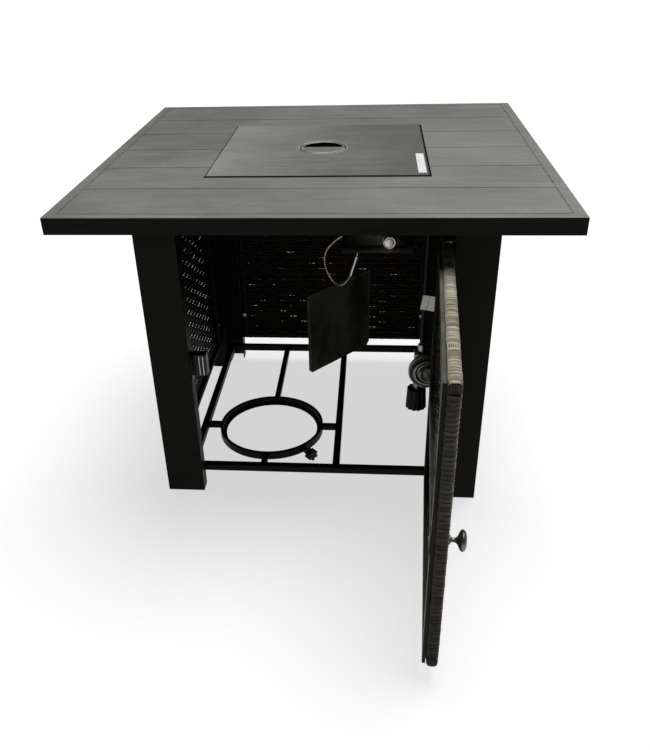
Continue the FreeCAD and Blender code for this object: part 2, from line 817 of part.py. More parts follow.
def make_panels():
    frames = []
    for side, u, x, y, turn in (
        ("back", ("-lip_x", "lip_x"), "0", "panel_y", 0),
        ("left", ("-lip_y", "lip_y"), "-panel_x", "0", 90),
        ("right", ("-lip_y", "lip_y"), "panel_x", "0", 90),
    ):
        frame, weave = woven(u, "panel_bottom", "panel_top")
        for piece in (frame, weave):
            piece.Placement = Placement(Vector(), Rotation(Vector(0, 0, 1), turn))
            bind(piece, x=x, y=y)
        frames.append(frame)
        keep(f"panel_weave_{side}", weave)
    keep("panel_frames", together(*frames))
    heads = []
    stile = "panel_thick / 2"
    for z in ("bolt_low", "bolt_high"):
        for sign in (-1, 1):
            across = f"{sign} * (lip_x - {stile})"
            heads.append(rod((across, "panel_in_y", z), "-Y", "bolt_head_radius", "bolt_head_high"))
            along = f"{sign} * (lip_y - {stile})"
            heads.append(rod(("-panel_in_x", along, z), "+X", "bolt_head_radius", "bolt_head_high"))
            heads.append(rod(("panel_in_x", along, z), "-X", "bolt_head_radius", "bolt_head_high"))
    for edge, shift in (("control_left", "+"), ("control_right", "-")):
        corner = (f"{edge} {shift} tube_side", "control_back", "control_top - tube_side")
        heads.append(rod(corner, "+Y", "bolt_head_radius", "bolt_head_high"))
    keep("screw_heads", together(*heads))


def on_door(thing):
    """Swings a piece that was drawn on the door's mid-plane, X along it, to the open place."""
    moved = together(thing) if thing.TypeId in ("Part::Box", "Part::Cylinder") else thing
    moved.Placement = Placement(Vector(), Rotation(Vector(0, 0, 1), 180 + value("door_open")))
    turn = "(180 + door_open) * 1 deg"
    return bind(moved, x=f"pivot_x + pivot_set * sin({turn})", y=f"pivot_y - pivot_set * cos({turn})")


def make_door():
    frame, weave = woven(("door_start", "door_end"), "door_bottom", "door_top")
    pin_bore = "pivot_pin_radius + pivot_clearance"
    to_tube_middle = "(seat_gap + panel_thick / 2)"
    for sign, end in (("+Z", "door_bottom - seat_gap"), ("-Z", "door_top + seat_gap")):
        frame = cut(frame, rod(("0", "pivot_set", end), sign, pin_bore, to_tube_middle))
        weave = cut(weave, rod(("0", "pivot_set", end), sign, pin_bore, to_tube_middle))
    screw_hole = ("knob_u", "-panel_thick", "catch_height")
    hole_radius = "knob_screw_radius + knob_screw_gap"
    frame = cut(frame, rod(screw_hole, "+Y", hole_radius, "2 * panel_thick"))
    weave = cut(weave, rod(screw_hole, "+Y", hole_radius, "2 * panel_thick"))
    keep("door_frame", on_door(frame))
    keep("door_weave", on_door(weave))

    w = ("backing_face", "-half_thick")
    out_u = ("door_start + backing_inset", "door_end - backing_inset")
    out_z = ("door_bottom + backing_inset", "door_top - backing_inset")
    in_u = (f"{out_u[0]} + backing_wide", f"{out_u[1]} - backing_wide")
    half = "backing_wide / 2"
    openings = [
        box(in_u, w, (f"{out_z[0]} + backing_wide", f"catch_height - {half}")),
        box(in_u, w, (f"catch_height + {half}", f"{out_z[1]} - backing_wide")),
    ]
    screw_way = rod(screw_hole, "+Y", hole_radius, "2 * panel_thick")
    keep("door_backing", on_door(cut(box(out_u, w, out_z), *openings, screw_way)))
    z = ("catch_z - strike_high / 2", "catch_z + strike_high / 2")
    u = ("strike_u - strike_wide / 2", "strike_u + strike_wide / 2")
    keep("strike_plate", on_door(box(u, ("strike_face", "backing_face"), z)))

    at = ("knob_u", "half_thick", "catch_height")
    collar = rod(at, "+Y", "knob_collar_radius", "knob_collar_thick")
    stem = rod(at, "+Y", "knob_stem_radius", "knob_reach - knob_head_thick / 2")
    head = doc.addObject("Part::Ellipsoid", "KnobHead")
    head.Placement = Placement(Vector(), TURNS["+Y"])
    bind(head, x="knob_u", y="half_thick + knob_reach - knob_head_thick / 2", z="catch_height")
    bind(head, Radius1="knob_head_thick / 2", Radius2="knob_head_radius", Radius3="knob_head_radius")
    keep("door_knob", on_door(fuse(collar, stem, head)))
    shank_start = ("knob_u", "backing_face", "catch_height")
    shank = rod(shank_start, "+Y", "knob_screw_radius", "half_thick - backing_face")
    head_start = ("knob_u", "backing_face - knob_screw_radius", "catch_height")
    screw_head = rod(head_start, "+Y", "1.5 * knob_screw_radius", "knob_screw_radius")
    keep("door_knob_screw", on_door(fuse(shank, screw_head)))

    tab_y = ("leg_sheet - leg_out_y", "leg_sheet - leg_out_y + pivot_tab_deep")
    plate_y = ("pivot_y - pivot_plate_front", tab_y[1])
    brackets, pins = [], []
    for toward, edge, sign in (("+Z", "door_bottom", 1), ("-Z", "door_top", -1)):
        inner = f"{edge} - {sign} * pivot_plate_gap"
        outer = f"{inner} - {sign} * pivot_plate"
        away = f"{inner} - {sign} * pivot_tab"
        plate_x = ("pivot_x - pivot_plate_reach", "lip_x")
        flat = box(plate_x, plate_y, (outer, inner) if sign > 0 else (inner, outer))
        tab_x = ("lip_x - pivot_tab_sheet", "lip_x")
        tab = box(tab_x, tab_y, (away, inner) if sign > 0 else (inner, away))
        bore = rod(("pivot_x", "pivot_y", outer), toward, "pivot_pin_radius", "pivot_plate")
        brackets.append(cut(fuse(flat, tab), bore))
        pin_length = "pivot_plate + pivot_plate_gap + pivot_pin_reach"
        pin = rod(("pivot_x", "pivot_y", outer), toward, "pivot_pin_radius", pin_length)
        shoulder_high = "pivot_plate_gap - seat_gap"
        shoulder = rod(("pivot_x", "pivot_y", inner), toward, "pivot_shoulder_radius", shoulder_high)
        pins.append(fuse(pin, shoulder))
    keep("pivot_brackets", together(*brackets))
    keep("pivot_pins", together(*pins))


def make_catch():
    z = ("catch_z - catch_high / 2", "catch_z + catch_high / 2")
    foot = box(("-lip_x", "catch_sheet - lip_x"), ("leg_sheet - leg_out_y", "catch_face + catch_deep"), z)
    body_x = ("catch_sheet - lip_x", "catch_sheet - lip_x + catch_wide")
    body = box(body_x, ("catch_face + pole_proud", "catch_face + catch_deep"), z)
    pole_z = ("catch_z - pole_high / 2", "catch_z + pole_high / 2")

    def poles():
        bars = []
        for sign in (-1, 1):
            middle = f"catch_x + {sign} * pole_spread / 2"
            x = (f"{middle} - pole_sheet / 2", f"{middle} + pole_sheet / 2")
            bars.append(box(x, ("catch_face", "catch_face + catch_deep / 2"), pole_z))
        return bars

    keep("catch_housing", cut(fuse(foot, body), *poles()))
    keep("catch_poles", together(*poles()))


def make_controls():
    bend_front = ("control_face", "control_bend")
    bend_back = ("control_back", "control_bend - (sqrt(2) - 1) * control_sheet")
    foot_front = "control_face - control_lip"
    sheet_corners = [("control_face", "control_top"), bend_front, bend_back, ("control_back", "control_top")]
    foot_corners = [
        bend_front,
        (foot_front, "control_bottom"),
        (f"{foot_front} + sqrt(2) * control_sheet", "control_bottom"),
        bend_back,
    ]
    sides = []
    for name, corners in (("ControlSheet", sheet_corners), ("ControlFoot", foot_corners)):
        side = doc.addObject("PartDesign::Body", name)
        pad = side.newObject("PartDesign::Pad", "Pad")
        pad.Profile = outline(side, "YZ_Plane", corners)
        bind(pad, Length="control_wide")
        sides.append(bind(side, x="control_left"))
    before = "control_face - control_sheet"
    through = "3 * control_sheet"
    knob_hole = rod(("knob_x", before, "knob_z"), "+Y", "stem_radius + control_sheet", through)
    button_bore = "button_radius + button_clearance"
    button_hole = rod(("igniter_x", before, "igniter_z"), "+Y", button_bore, through)
    # One bent sheet, as two solids that meet along the bend
    keep("control_panel", together(cut(sides[0], knob_hole, button_hole), sides[1]))
    low = "knob_z - valve_below"
    block = box(
        ("knob_x - valve_to_left", "knob_x + valve_to_right"),
        ("valve_front", "valve_back"),
        (low, f"{low} + valve_high"),
    )
    at = ("knob_x", "control_back", "knob_z")
    boss = rod(at, "+Y", "knob_radius - valve_boss_step", "valve_boss")
    stem_bore = rod(at, "+Y", "stem_radius + stem_clearance", "stem_in_valve + knob_push + seat_gap")
    keep("gas_valve", cut(fuse(block, boss), stem_bore))
    stem_start = ("knob_x", "knob_back - stem_in_knob", "knob_z")
    stem_length = "control_back + stem_in_valve - knob_back + stem_in_knob"
    keep("valve_stem", rod(stem_start, "+Y", "stem_radius", stem_length))
    grip = turned(
        "KnobGrip",
        [
            ("0", "0"),
            ("knob_radius", "0"),
            ("knob_radius", "knob_length - knob_bevel"),
            ("knob_radius - knob_bevel", "knob_length"),
            ("0", "knob_length"),
        ],
    )
    grip.Placement = Placement(Vector(), TURNS["-Y"])
    bind(grip, x="knob_x", y="knob_back", z="knob_z")
    socket_start = ("knob_x", "knob_back - stem_in_knob - seat_gap", "knob_z")
    socket = rod(socket_start, "+Y", "stem_radius + stem_clearance", "knob_length")
    keep("control_knob", cut(grip, socket))

    behind = ("igniter_x", "control_back", "igniter_z")
    housing = rod(behind, "+Y", "igniter_radius", "igniter_length")
    well = rod(behind, "+Y", button_bore, "button_inside + button_push + seat_gap")
    keep("igniter_housing", cut(housing, well))
    button_start = ("igniter_x", "control_face - button_proud", "igniter_z")
    button_length = "button_proud + control_sheet + button_inside"
    keep("igniter_button", rod(button_start, "+Y", "button_radius", button_length))

    feed_x, start_y = value("knob_x"), value("valve_back")
    z, bend, end_x = value("orifice_z"), value("feed_bend"), value("orifice_side") / 2
    corner = Vector(feed_x, 0, z)
    first = Part.LineSegment(Vector(feed_x, start_y, z), Vector(feed_x, -bend, z))
    mid = corner + Vector(-bend, -bend, 0) + Vector(1, 1, 0).normalize() * bend
    arc = Part.Arc(Vector(feed_x, -bend, z), mid, Vector(feed_x - bend, 0, z))
    last = Part.LineSegment(Vector(feed_x - bend, 0, z), Vector(end_x, 0, z))
    wire = Part.Wire([first.toShape(), arc.toShape(), last.toShape()])
    circle = Part.Circle(Vector(feed_x, start_y, z), Vector(0, 1, 0), value("feed_radius"))
    feed = doc.addObject("Part::Feature", "FeedTube")
    feed.Shape = wire.makePipeShell([Part.Wire([circle.toShape()])], True, True)
    keep("feed_tube", feed)


# The hose's route, chosen by hand: how far right and back of its fitting, and how far down
HOSE_ROUTE = [
    (0, 0, 0),
    (0, -0.4, 42),
    (-0.4, -0.8, 100),
    (-0.9, -0.6, 158),
    (-1, 0, value("hose_drop")),
]
# The cable's route, chosen by hand: how far right and up from the loop's anchor, from the ferrule on
CABLE_ROUTE = [
    (13.6, -33),
    (15.8, -21),
    (16, -7),
    (11, 5.5),
    (-0.5, 10),
    (-12, 5.5),
    (-22, -1),
    (-34, -11.5),
    (-43.5, -26),
    (-45, -44),
    (-40.5, -62),
    (-32, -77),
    (-22.5, -87.5),
    (-11.5, -88),
    (-3, -78),
    (2.5, -69.5),
]
hose_points = [
    (value("hose_x") + right, value("hose_y") + back, value("hose_top") - down)
    for right, back, down in HOSE_ROUTE
]
cable_plane = value("control_back") + value("hook_out") - 2 * value("cable_radius")
cable_points = [(value("loop_x") + right, cable_plane, value("loop_z") + up) for right, up in CABLE_ROUTE]


def cord_path(route):
    """The centre line of a cord: straight runs joined by tangent arcs, and each arc's radius."""
    points = [Vector(*p) for p in route]
    runs = [b - a for a, b in zip(points, points[1:])]
    edges, radii, start = [], [], points[0]
    for i in range(1, len(points) - 1):
        back, ahead = runs[i - 1], runs[i]
        turn = back.getAngle(ahead)
        reach = 0.45 * min(back.Length, ahead.Length)
        bend = reach / math.tan(turn / 2)
        radii.append(bend)
        u, v = Vector(back).normalize(), Vector(ahead).normalize()
        first, last = points[i] - u * reach, points[i] + v * reach
        centre_line = (v - u).normalize()
        centre = points[i] + centre_line * (bend / math.cos(turn / 2))
        middle = centre - centre_line * bend
        edges.append(Part.LineSegment(start, first).toShape())
        edges.append(Part.Arc(first, middle, last).toShape())
        start = last
    edges.append(Part.LineSegment(start, points[-1]).toShape())
    return Part.Wire(edges), radii


def add_cord(node, route, radius):
    """A cord's tube along its centre line, which is returned."""
    path, radii = cord_path(route)
    start, ahead = Vector(*route[0]), Vector(*route[1]) - Vector(*route[0])
    section = Part.Wire([Part.Circle(start, ahead, radius).toShape()])
    cord = doc.addObject("Part::Feature", "Cord")
    cord.Shape = path.makePipeShell([section], True, True)
    keep(node, cord)
    length = path.Length
    ratio = cord.Shape.Volume / (math.pi * radius**2 * length)
    rounded = ", ".join(f"{r:.0f}" for r in radii)
    print(f"{node}: length {length:.1f}, arc radii {rounded}, volume over section times length {ratio:.4f}")
    return path


def between(start, end, radius):
    """A round bar from one point to another."""
    a, b = Vector(*start), Vector(*end)
    return Part.makeCylinder(radius, (b - a).Length, a, b - a)


def make_hose():
    inlet_start = ("knob_x + valve_to_right", "hose_y", "elbow_z")
    inlet = rod(inlet_start, "+X", "elbow_radius", "hose_x - knob_x - valve_to_right")
    ball = doc.addObject("Part::Sphere", "ElbowBall")
    bind(ball, Radius="elbow_radius", x="hose_x", y="hose_y", z="elbow_z")
    drop = rod(("hose_x", "hose_y", "hose_top"), "+Z", "elbow_radius", "elbow_z - hose_top")
    keep("hose_elbow", fuse(inlet, ball, drop))
    add_cord("gas_hose", hose_points, value("hose_radius"))
    end_x = f"(hose_x - {-HOSE_ROUTE[-1][0]})"
    keep("hose_crimp", rod((end_x, "hose_y", "block_top"), "+Z", "crimp_radius", "crimp_high"))

    block = box(
        (f"{end_x} - block_wide / 2", f"{end_x} + block_wide / 2"),
        ("hose_y - block_deep / 2", "hose_y + block_deep / 2"),
        ("block_top - block_high", "block_top"),
    )
    disc = rod(("regulator_x", "disc_back", "regulator_z"), "-Y", "regulator_radius", "regulator_flange")
    bonnet = rod(("regulator_x", "disc_back", "regulator_z"), "-Y", "bonnet_radius", "regulator_front")
    keep("regulator_body", fuse(block, disc, bonnet))
    keep("regulator_cap", rod(("regulator_x", "disc_front", "regulator_z"), "-Y", "cap_radius", "cap_length"))
    bore_top = "(wheel_top - wheel_web)"
    stop_bottom = f"{bore_top} + neck_stop_clearance"
    stop_high = "wheel_recess - neck_stop_clearance - seat_gap"
    at_wheel = ("wheel_x", "hose_y")
    neck = rod((*at_wheel, stop_bottom), "+Z", "neck_radius", f"block_top - block_high - ({stop_bottom})")
    stop = rod((*at_wheel, stop_bottom), "+Z", "neck_stop_radius", stop_high)
    keep("regulator_neck", fuse(neck, stop))

    wheel = cut(
        rod((*at_wheel, "wheel_bottom"), "+Z", "wheel_radius", "wheel_length"),
        rod((*at_wheel, "wheel_bottom"), "+Z", "wheel_bore", "wheel_length - wheel_web"),
        rod((*at_wheel, bore_top), "+Z", "neck_stop_radius + neck_stop_clearance", "wheel_recess"),
        rod((*at_wheel, "wheel_bottom"), "+Z", "neck_radius + neck_clearance", "wheel_length"),
    )
    flutes = []
    count = int(value("wheel_flutes"))
    for i in range(count):
        angle = 360 * i / count
        across = f"wheel_x + (wheel_radius + wheel_flute_out) * cos({angle} * 1 deg)"
        along = f"hose_y + (wheel_radius + wheel_flute_out) * sin({angle} * 1 deg)"
        flutes.append(rod((across, along, "wheel_bottom"), "+Z", "wheel_flute_radius", "wheel_length"))
    keep("hand_wheel", cut(wheel, fuse(*flutes)))
    tag_y = f"(hose_y - {-HOSE_ROUTE[2][1]} - hose_radius - seat_gap)"
    tag_x = ("hose_x - tag_wide / 4", "hose_x + 3 * tag_wide / 4")
    tag_z = ("hose_top - tag_down - tag_high", "hose_top - tag_down")
    keep("hose_tag", box(tag_x, (f"{tag_y} - tag_sheet", tag_y), tag_z))


def make_plates():
    loop = add_cord("lanyard_cable", cable_points, value("cable_radius"))
    line = loop.discretize(Distance=0.2)
    highest = max(line, key=lambda point: point.z)
    lowest = min(line, key=lambda point: point.z)
    drop = value("plate_hole_radius") - value("cable_radius") - value("plate_hang")
    hole = lowest - Vector(0, 0, drop)
    turn = value("plate_turn")
    normal = Vector(math.sin(math.radians(turn)), -math.cos(math.radians(turn)), 0)
    step = value("plate_sheet") + value("plate_gap")
    plates = []
    for place, shift in ((0.5, "0"), (-0.5, "plate_shift")):
        left, right = f"-plate_wide / 2 - {shift}", f"plate_wide / 2 - {shift}"
        top, bottom = f"plate_hole_down - {shift} / 3", f"plate_hole_down - plate_high - {shift} / 3"
        body = doc.addObject("PartDesign::Body", "Placard")
        pad = body.newObject("PartDesign::Pad", "Pad")
        pad.Profile = outline(
            body,
            "XZ_Plane",
            [
                (left, top),
                (right, top),
                (right, f"{bottom} + plate_cut"),
                (f"{right} - plate_cut", bottom),
                (f"{left} + plate_cut", bottom),
                (left, f"{bottom} + plate_cut"),
            ],
        )
        pad.Midplane = True
        bind(pad, Length="plate_sheet")
        eye = rod(("0", "-2 * plate_sheet", "0"), "+Y", "plate_hole_radius", "4 * plate_sheet")
        plate = cut(body, eye)
        plate.Placement = Placement(hole + normal * (place * step), Rotation(Vector(0, 0, 1), turn))
        plates.append(plate)
    keep("placards", together(*plates))
    print(f"the placards hang at {lowest.x:.1f}, {lowest.y:.1f}, {lowest.z:.1f}")
    ferrule = doc.addObject("Part::Feature", "Ferrule")
    ferrule.Shape = between(cable_points[-1], cable_points[0], value("ferrule_radius"))
    keep("lanyard_ferrule", ferrule)
    hook_start = (highest.x, "control_back", f"{highest.z} - cable_radius - seat_gap - hook_radius")
    keep("lanyard_hook", rod(hook_start, "+Y", "hook_radius", "hook_out"))


def checked_shape(node, thing):
    """The finished shape, after making sure that it is sound."""
    shape = thing.Shape
    if shape.isNull() or not shape.isValid() or not shape.Solids:
        raise RuntimeError(f"{node} has no sound shape")
    return shape


make_deck()
make_lid()
make_burner()
make_legs()
make_rails()
make_ring()
make_panels()
make_door()
make_catch()
make_controls()
make_hose()
make_plates()
doc.recompute()

for thing in doc.Objects:
    if "Invalid" in thing.State or "Error" in thing.State:
        raise RuntimeError(f"{thing.Name} ({thing.Label}) failed: {thing.State}")
shapes = {node: checked_shape(node, thing) for node, thing in kept.items()}
os.makedirs("parts", exist_ok=True)
for node, shape in shapes.items():
    shape.exportStep(f"parts/{node}.step")
print(f"{len(shapes)} nodes, {sum(len(s.Solids) for s in shapes.values())} solids")
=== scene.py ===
import json
import math

import bmesh
import bpy
from mathutils import Matrix, Vector

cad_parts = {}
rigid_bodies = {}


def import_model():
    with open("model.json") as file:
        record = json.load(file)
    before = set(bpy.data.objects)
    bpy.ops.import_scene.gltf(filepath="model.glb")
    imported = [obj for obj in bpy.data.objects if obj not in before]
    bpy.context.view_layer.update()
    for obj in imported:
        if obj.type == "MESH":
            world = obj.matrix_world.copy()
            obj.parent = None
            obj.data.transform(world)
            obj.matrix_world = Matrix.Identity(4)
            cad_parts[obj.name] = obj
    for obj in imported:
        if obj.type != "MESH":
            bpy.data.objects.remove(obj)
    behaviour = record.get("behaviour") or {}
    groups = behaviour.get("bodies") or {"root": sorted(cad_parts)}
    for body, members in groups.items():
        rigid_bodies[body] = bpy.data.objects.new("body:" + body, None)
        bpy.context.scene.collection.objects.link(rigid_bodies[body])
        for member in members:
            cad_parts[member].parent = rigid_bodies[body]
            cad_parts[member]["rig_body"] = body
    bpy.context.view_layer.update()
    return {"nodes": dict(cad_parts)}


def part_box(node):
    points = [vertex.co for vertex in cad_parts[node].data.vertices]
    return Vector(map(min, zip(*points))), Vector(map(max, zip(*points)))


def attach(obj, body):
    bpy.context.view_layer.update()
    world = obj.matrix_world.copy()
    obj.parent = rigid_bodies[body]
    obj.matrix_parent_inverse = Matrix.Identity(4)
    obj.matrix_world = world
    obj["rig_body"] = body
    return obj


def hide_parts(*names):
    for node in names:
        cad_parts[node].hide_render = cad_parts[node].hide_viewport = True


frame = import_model()
print("frame loaded:", len(frame["nodes"]), "nodes")


class Flow:
    # A socket of a node tree that takes part in Python sums
    def __init__(self, graph, socket):
        self.graph, self.socket = graph, socket

    def apply(self, operation, *others):
        maths = self.graph.tree.nodes.new("ShaderNodeMath")
        maths.operation = operation
        for place, item in enumerate((self, *others)):
            self.graph.feed(maths.inputs[place], item)
        return Flow(self.graph, maths.outputs[0])

    def __add__(self, other): return self.apply("ADD", other)
    def __radd__(self, other): return self.apply("ADD", other)
    def __sub__(self, other): return self.apply("SUBTRACT", other)
    def __rsub__(self, other): return (self * -1).apply("ADD", other)
    def __mul__(self, other): return self.apply("MULTIPLY", other)
    def __rmul__(self, other): return self.apply("MULTIPLY", other)
    def __truediv__(self, other): return self.apply("DIVIDE", other)
    def __mod__(self, other): return self.apply("FLOORED_MODULO", other)
    def __pow__(self, other): return self.apply("POWER", other)
    def __abs__(self): return self.apply("ABSOLUTE")
    def floor(self): return self.apply("FLOOR")
    def round(self): return self.apply("ROUND")
    def sine(self): return self.apply("SINE")
    def below(self, other): return self.apply("LESS_THAN", other)
    def above(self, other): return self.apply("GREATER_THAN", other)
    def least(self, other): return self.apply("MINIMUM", other)
    def most(self, other): return self.apply("MAXIMUM", other)
    def within(self, low, high): return self.most(low).least(high)

    def ramp(self, low, high):
        # 0 at low and 1 at high, with soft ends
        step = {"interpolation_type": "SMOOTHSTEP"}
        values = {"Value": self, "From Min": low, "From Max": high}
        return self.graph.node("ShaderNodeMapRange", step, values)

    def near(self, full, gone):
        # 1 where the value is within full of 0, and 0 from gone on
        return 1 - abs(self).ramp(full, gone)


class Graph:
    def __init__(self, tree):
        self.tree = tree

    def feed(self, socket, item):
        if isinstance(item, Flow):
            self.tree.links.new(item.socket, socket)
        elif socket.type == "RGBA":
            socket.default_value = (*item, 1.0)
        else:
            socket.default_value = item

    def node(self, kind, settings=None, values=None, out=0):
        made = self.tree.nodes.new(kind)
        for name, setting in (settings or {}).items():
            setattr(made, name, setting)
        for name, item in (values or {}).items():
            if isinstance(name, int):
                socket = made.inputs[name]
            else:
                socket = next(s for s in made.inputs if s.enabled and s.name == name)
            for part in item if isinstance(item, list) else [item]:
                self.feed(socket, part)
        live = [s for s in made.outputs if s.enabled]
        chosen = live[out] if isinstance(out, int) else next(s for s in live if s.name == out)
        return Flow(self, chosen)

    def split(self, vector):
        made = self.tree.nodes.new("ShaderNodeSeparateXYZ")
        self.feed(made.inputs[0], vector)
        return [Flow(self, socket) for socket in made.outputs]

    def vector(self, x, y, z):
        return self.node("ShaderNodeCombineXYZ", None, {"X": x, "Y": y, "Z": z})

    def blend(self, amount, first, second):
        colours = {"data_type": "RGBA"}
        values = {"Factor": amount, "A": first, "B": second}
        return self.node("ShaderNodeMix", colours, values)

    def noise(self, vector, scale, detail=2.0, rough=0.5):
        values = {"Vector": vector, "Scale": scale, "Detail": detail, "Roughness": rough}
        return self.node("ShaderNodeTexNoise", None, values)

    def place(self):
        return self.node("ShaderNodeTexCoord", None, None, "Object")

    def facing(self):
        return self.node("ShaderNodeNewGeometry", None, None, "Normal")

    def bump(self, height, strength, distance):
        values = {"Height": height, "Strength": strength, "Distance": distance}
        return self.node("ShaderNodeBump", None, values)

    def note(self, name):
        return self.node("ShaderNodeAttribute", {"attribute_name": name}, None, "Fac")


def finish(name, paint, fixed=None):
    made = bpy.data.materials.new(name)
    made.use_nodes = True
    shader = made.node_tree.nodes["Principled BSDF"]
    for socket, amount in (fixed or {}).items():
        shader.inputs[socket].default_value = amount
    graph = Graph(made.node_tree)
    for socket, item in paint(graph).items():
        graph.feed(shader.inputs[socket], item)
    return made


def wornPaint(look):
    # A surface that goes from clean to worn in patches, with fine pits where the look has them
    def paint(g):
        spot = g.place()
        wear = g.noise(spot, *look["patches"])
        amount = wear.ramp(*look["reach"]) if "reach" in look else wear
        made = {
            "Base Color": g.blend(amount, look["clean"], look["worn"]),
            "Roughness": look["rough"] + (wear - 0.5) * look["spread"],
        }
        if "pits" in look:
            made["Normal"] = g.bump(g.noise(spot, *look["pits"]), *look["relief"])
        return made
    return paint


# Camera and cords

cameraView = {
    "position": (0.0952583, -1.5072735, 0.9833977),
    "yaw": -0.0975,
    "down": 0.5425,
    "roll": -0.033,
    "focal": 772.89,  # in pixels of a 650 x 750 picture
    "centre": (303.94, 388.17),
    "picture": (650, 750),
}


def addCamera(spec):
    yaw, down, roll = spec["yaw"], spec["down"], spec["roll"]
    ahead = Vector((math.sin(yaw) * math.cos(down), math.cos(yaw) * math.cos(down), -math.sin(down)))
    level = ahead.cross(Vector((0, 0, 1))).normalized()
    upright = level.cross(ahead)
    right = level * math.cos(roll) + upright * math.sin(roll)
    up = upright * math.cos(roll) - level * math.sin(roll)
    wide, high = spec["picture"]
    lens = bpy.data.cameras.new("photoCamera")
    lens.sensor_fit = "VERTICAL"
    lens.lens = spec["focal"] / high * lens.sensor_height
    lens.shift_x = (wide / 2 - spec["centre"][0]) / high
    lens.shift_y = (spec["centre"][1] - high / 2) / high
    holder = bpy.data.objects.new("photoCamera", lens)
    turn = Matrix((right, up, -ahead)).transposed().to_4x4()
    holder.matrix_world = Matrix.Translation(spec["position"]) @ turn
    bpy.context.scene.collection.objects.link(holder)
    bpy.context.scene.camera = holder


addCamera(cameraView)


rubberLook = {
    "clean": (0.012, 0.012, 0.012),
    "worn": (0.035, 0.034, 0.031),
    "patches": (60, 3),  # how fine the patches of wear are, and how detailed
    "reach": (0.4, 0.7),  # the wear that starts to show, and that shows in full
    "rough": 0.505,
    "spread": 0.25,
    "pits": (900, 2),
    "relief": (0.15, 0.0004),  # the pits' strength and depth
}
cableLook = {
    "bright": (0.8, 0.78, 0.74),
    "dull": (0.5, 0.48, 0.45),
    "turns": 2600,  # how close the strands lie, in radians to a metre
    "relief": (0.5, 0.0004),
}


def cablePaint(g):
    spot = g.place()
    x, y, z = g.split(spot)
    lay = ((x + z) * cableLook["turns"]).sine()
    tarnish = g.noise(spot, 90, 2)
    return {
        "Base Color": g.blend(tarnish.ramp(0.3, 0.7), cableLook["bright"], cableLook["dull"]),
        "Roughness": 0.34 + tarnish * 0.2,
        "Normal": g.bump(lay, *cableLook["relief"]),
    }


rubberFinish = finish("hoseRubber", wornPaint(rubberLook), {"Specular IOR Level": 0.2})
cableFinish = finish("strandedSteel", cablePaint, {"Metallic": 0.8})

# The routes' points and radii are in mm
hoseRun = {
    "points": [(193.5, -226, 520), (193.5, -226.4, 478), (193.1, -226.8, 420), (192.6, -226.6, 362),
               (192.5, -226, 307)],
    "radius": 4.5,
    "length": 0.213,
    "roundness": 4,
}
cableRun = {
    "points": [(x, -203.6, z) for x, z in (
        (70.6, 470), (72.8, 482), (73, 496), (68, 508.5), (56.5, 513), (45, 508.5), (35, 502),
        (23, 491.5), (13.5, 477), (12, 459), (16.5, 441), (25, 426), (34.5, 415.5), (45.5, 415),
        (54, 425), (59.5, 433.5))],
    "radius": 1.3,
    "length": 0.2085,
    "roundness": 3,
}


def addCord(name, run, material):
    line = bpy.data.curves.new(name, "CURVE")
    line.dimensions = "3D"
    line.resolution_u = 14
    line.bevel_depth = run["radius"] / 1000
    line.bevel_resolution = run["roundness"]
    line.use_fill_caps = True
    spline = line.splines.new("NURBS")
    spline.points.add(len(run["points"]) - 1)
    for point, spot in zip(spline.points, run["points"]):
        point.co = (*[c / 1000 for c in spot], 1)
    spline.order_u = 3
    spline.use_endpoint_u = True
    line.materials.append(material)
    cord = bpy.data.objects.new(name, line)
    bpy.context.scene.collection.objects.link(cord)
    return cord


hose = addCord("gasHose", hoseRun, rubberFinish)
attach(hose, "table")
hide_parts("gas_hose")
cable = addCord("lanyardLoop", cableRun, cableFinish)
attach(cable, "table")
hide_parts("lanyard_cable")
print("camera and cords placed")


# Floor, sky and lamps

studio = {
    "overhead": 3.4,  # a wide soft lamp, a little from the back and the right
    "overheadSpread": 46,
    "overheadTilt": (-11, 9, 0),
    "front": 0.05,
    "frontSpread": 40,
    "frontTilt": (62, 0, -12),
    "air": 0.025,
    "bounce": (0.028, 0.028, 0.028),  # the floor's colour for the light that it throws back
    "floor": ((0.37, 0.37, 0.37), (0.39, 0.39, 0.39)),
    "floorGlow": 0.65,
    "floorSide": 60,
}


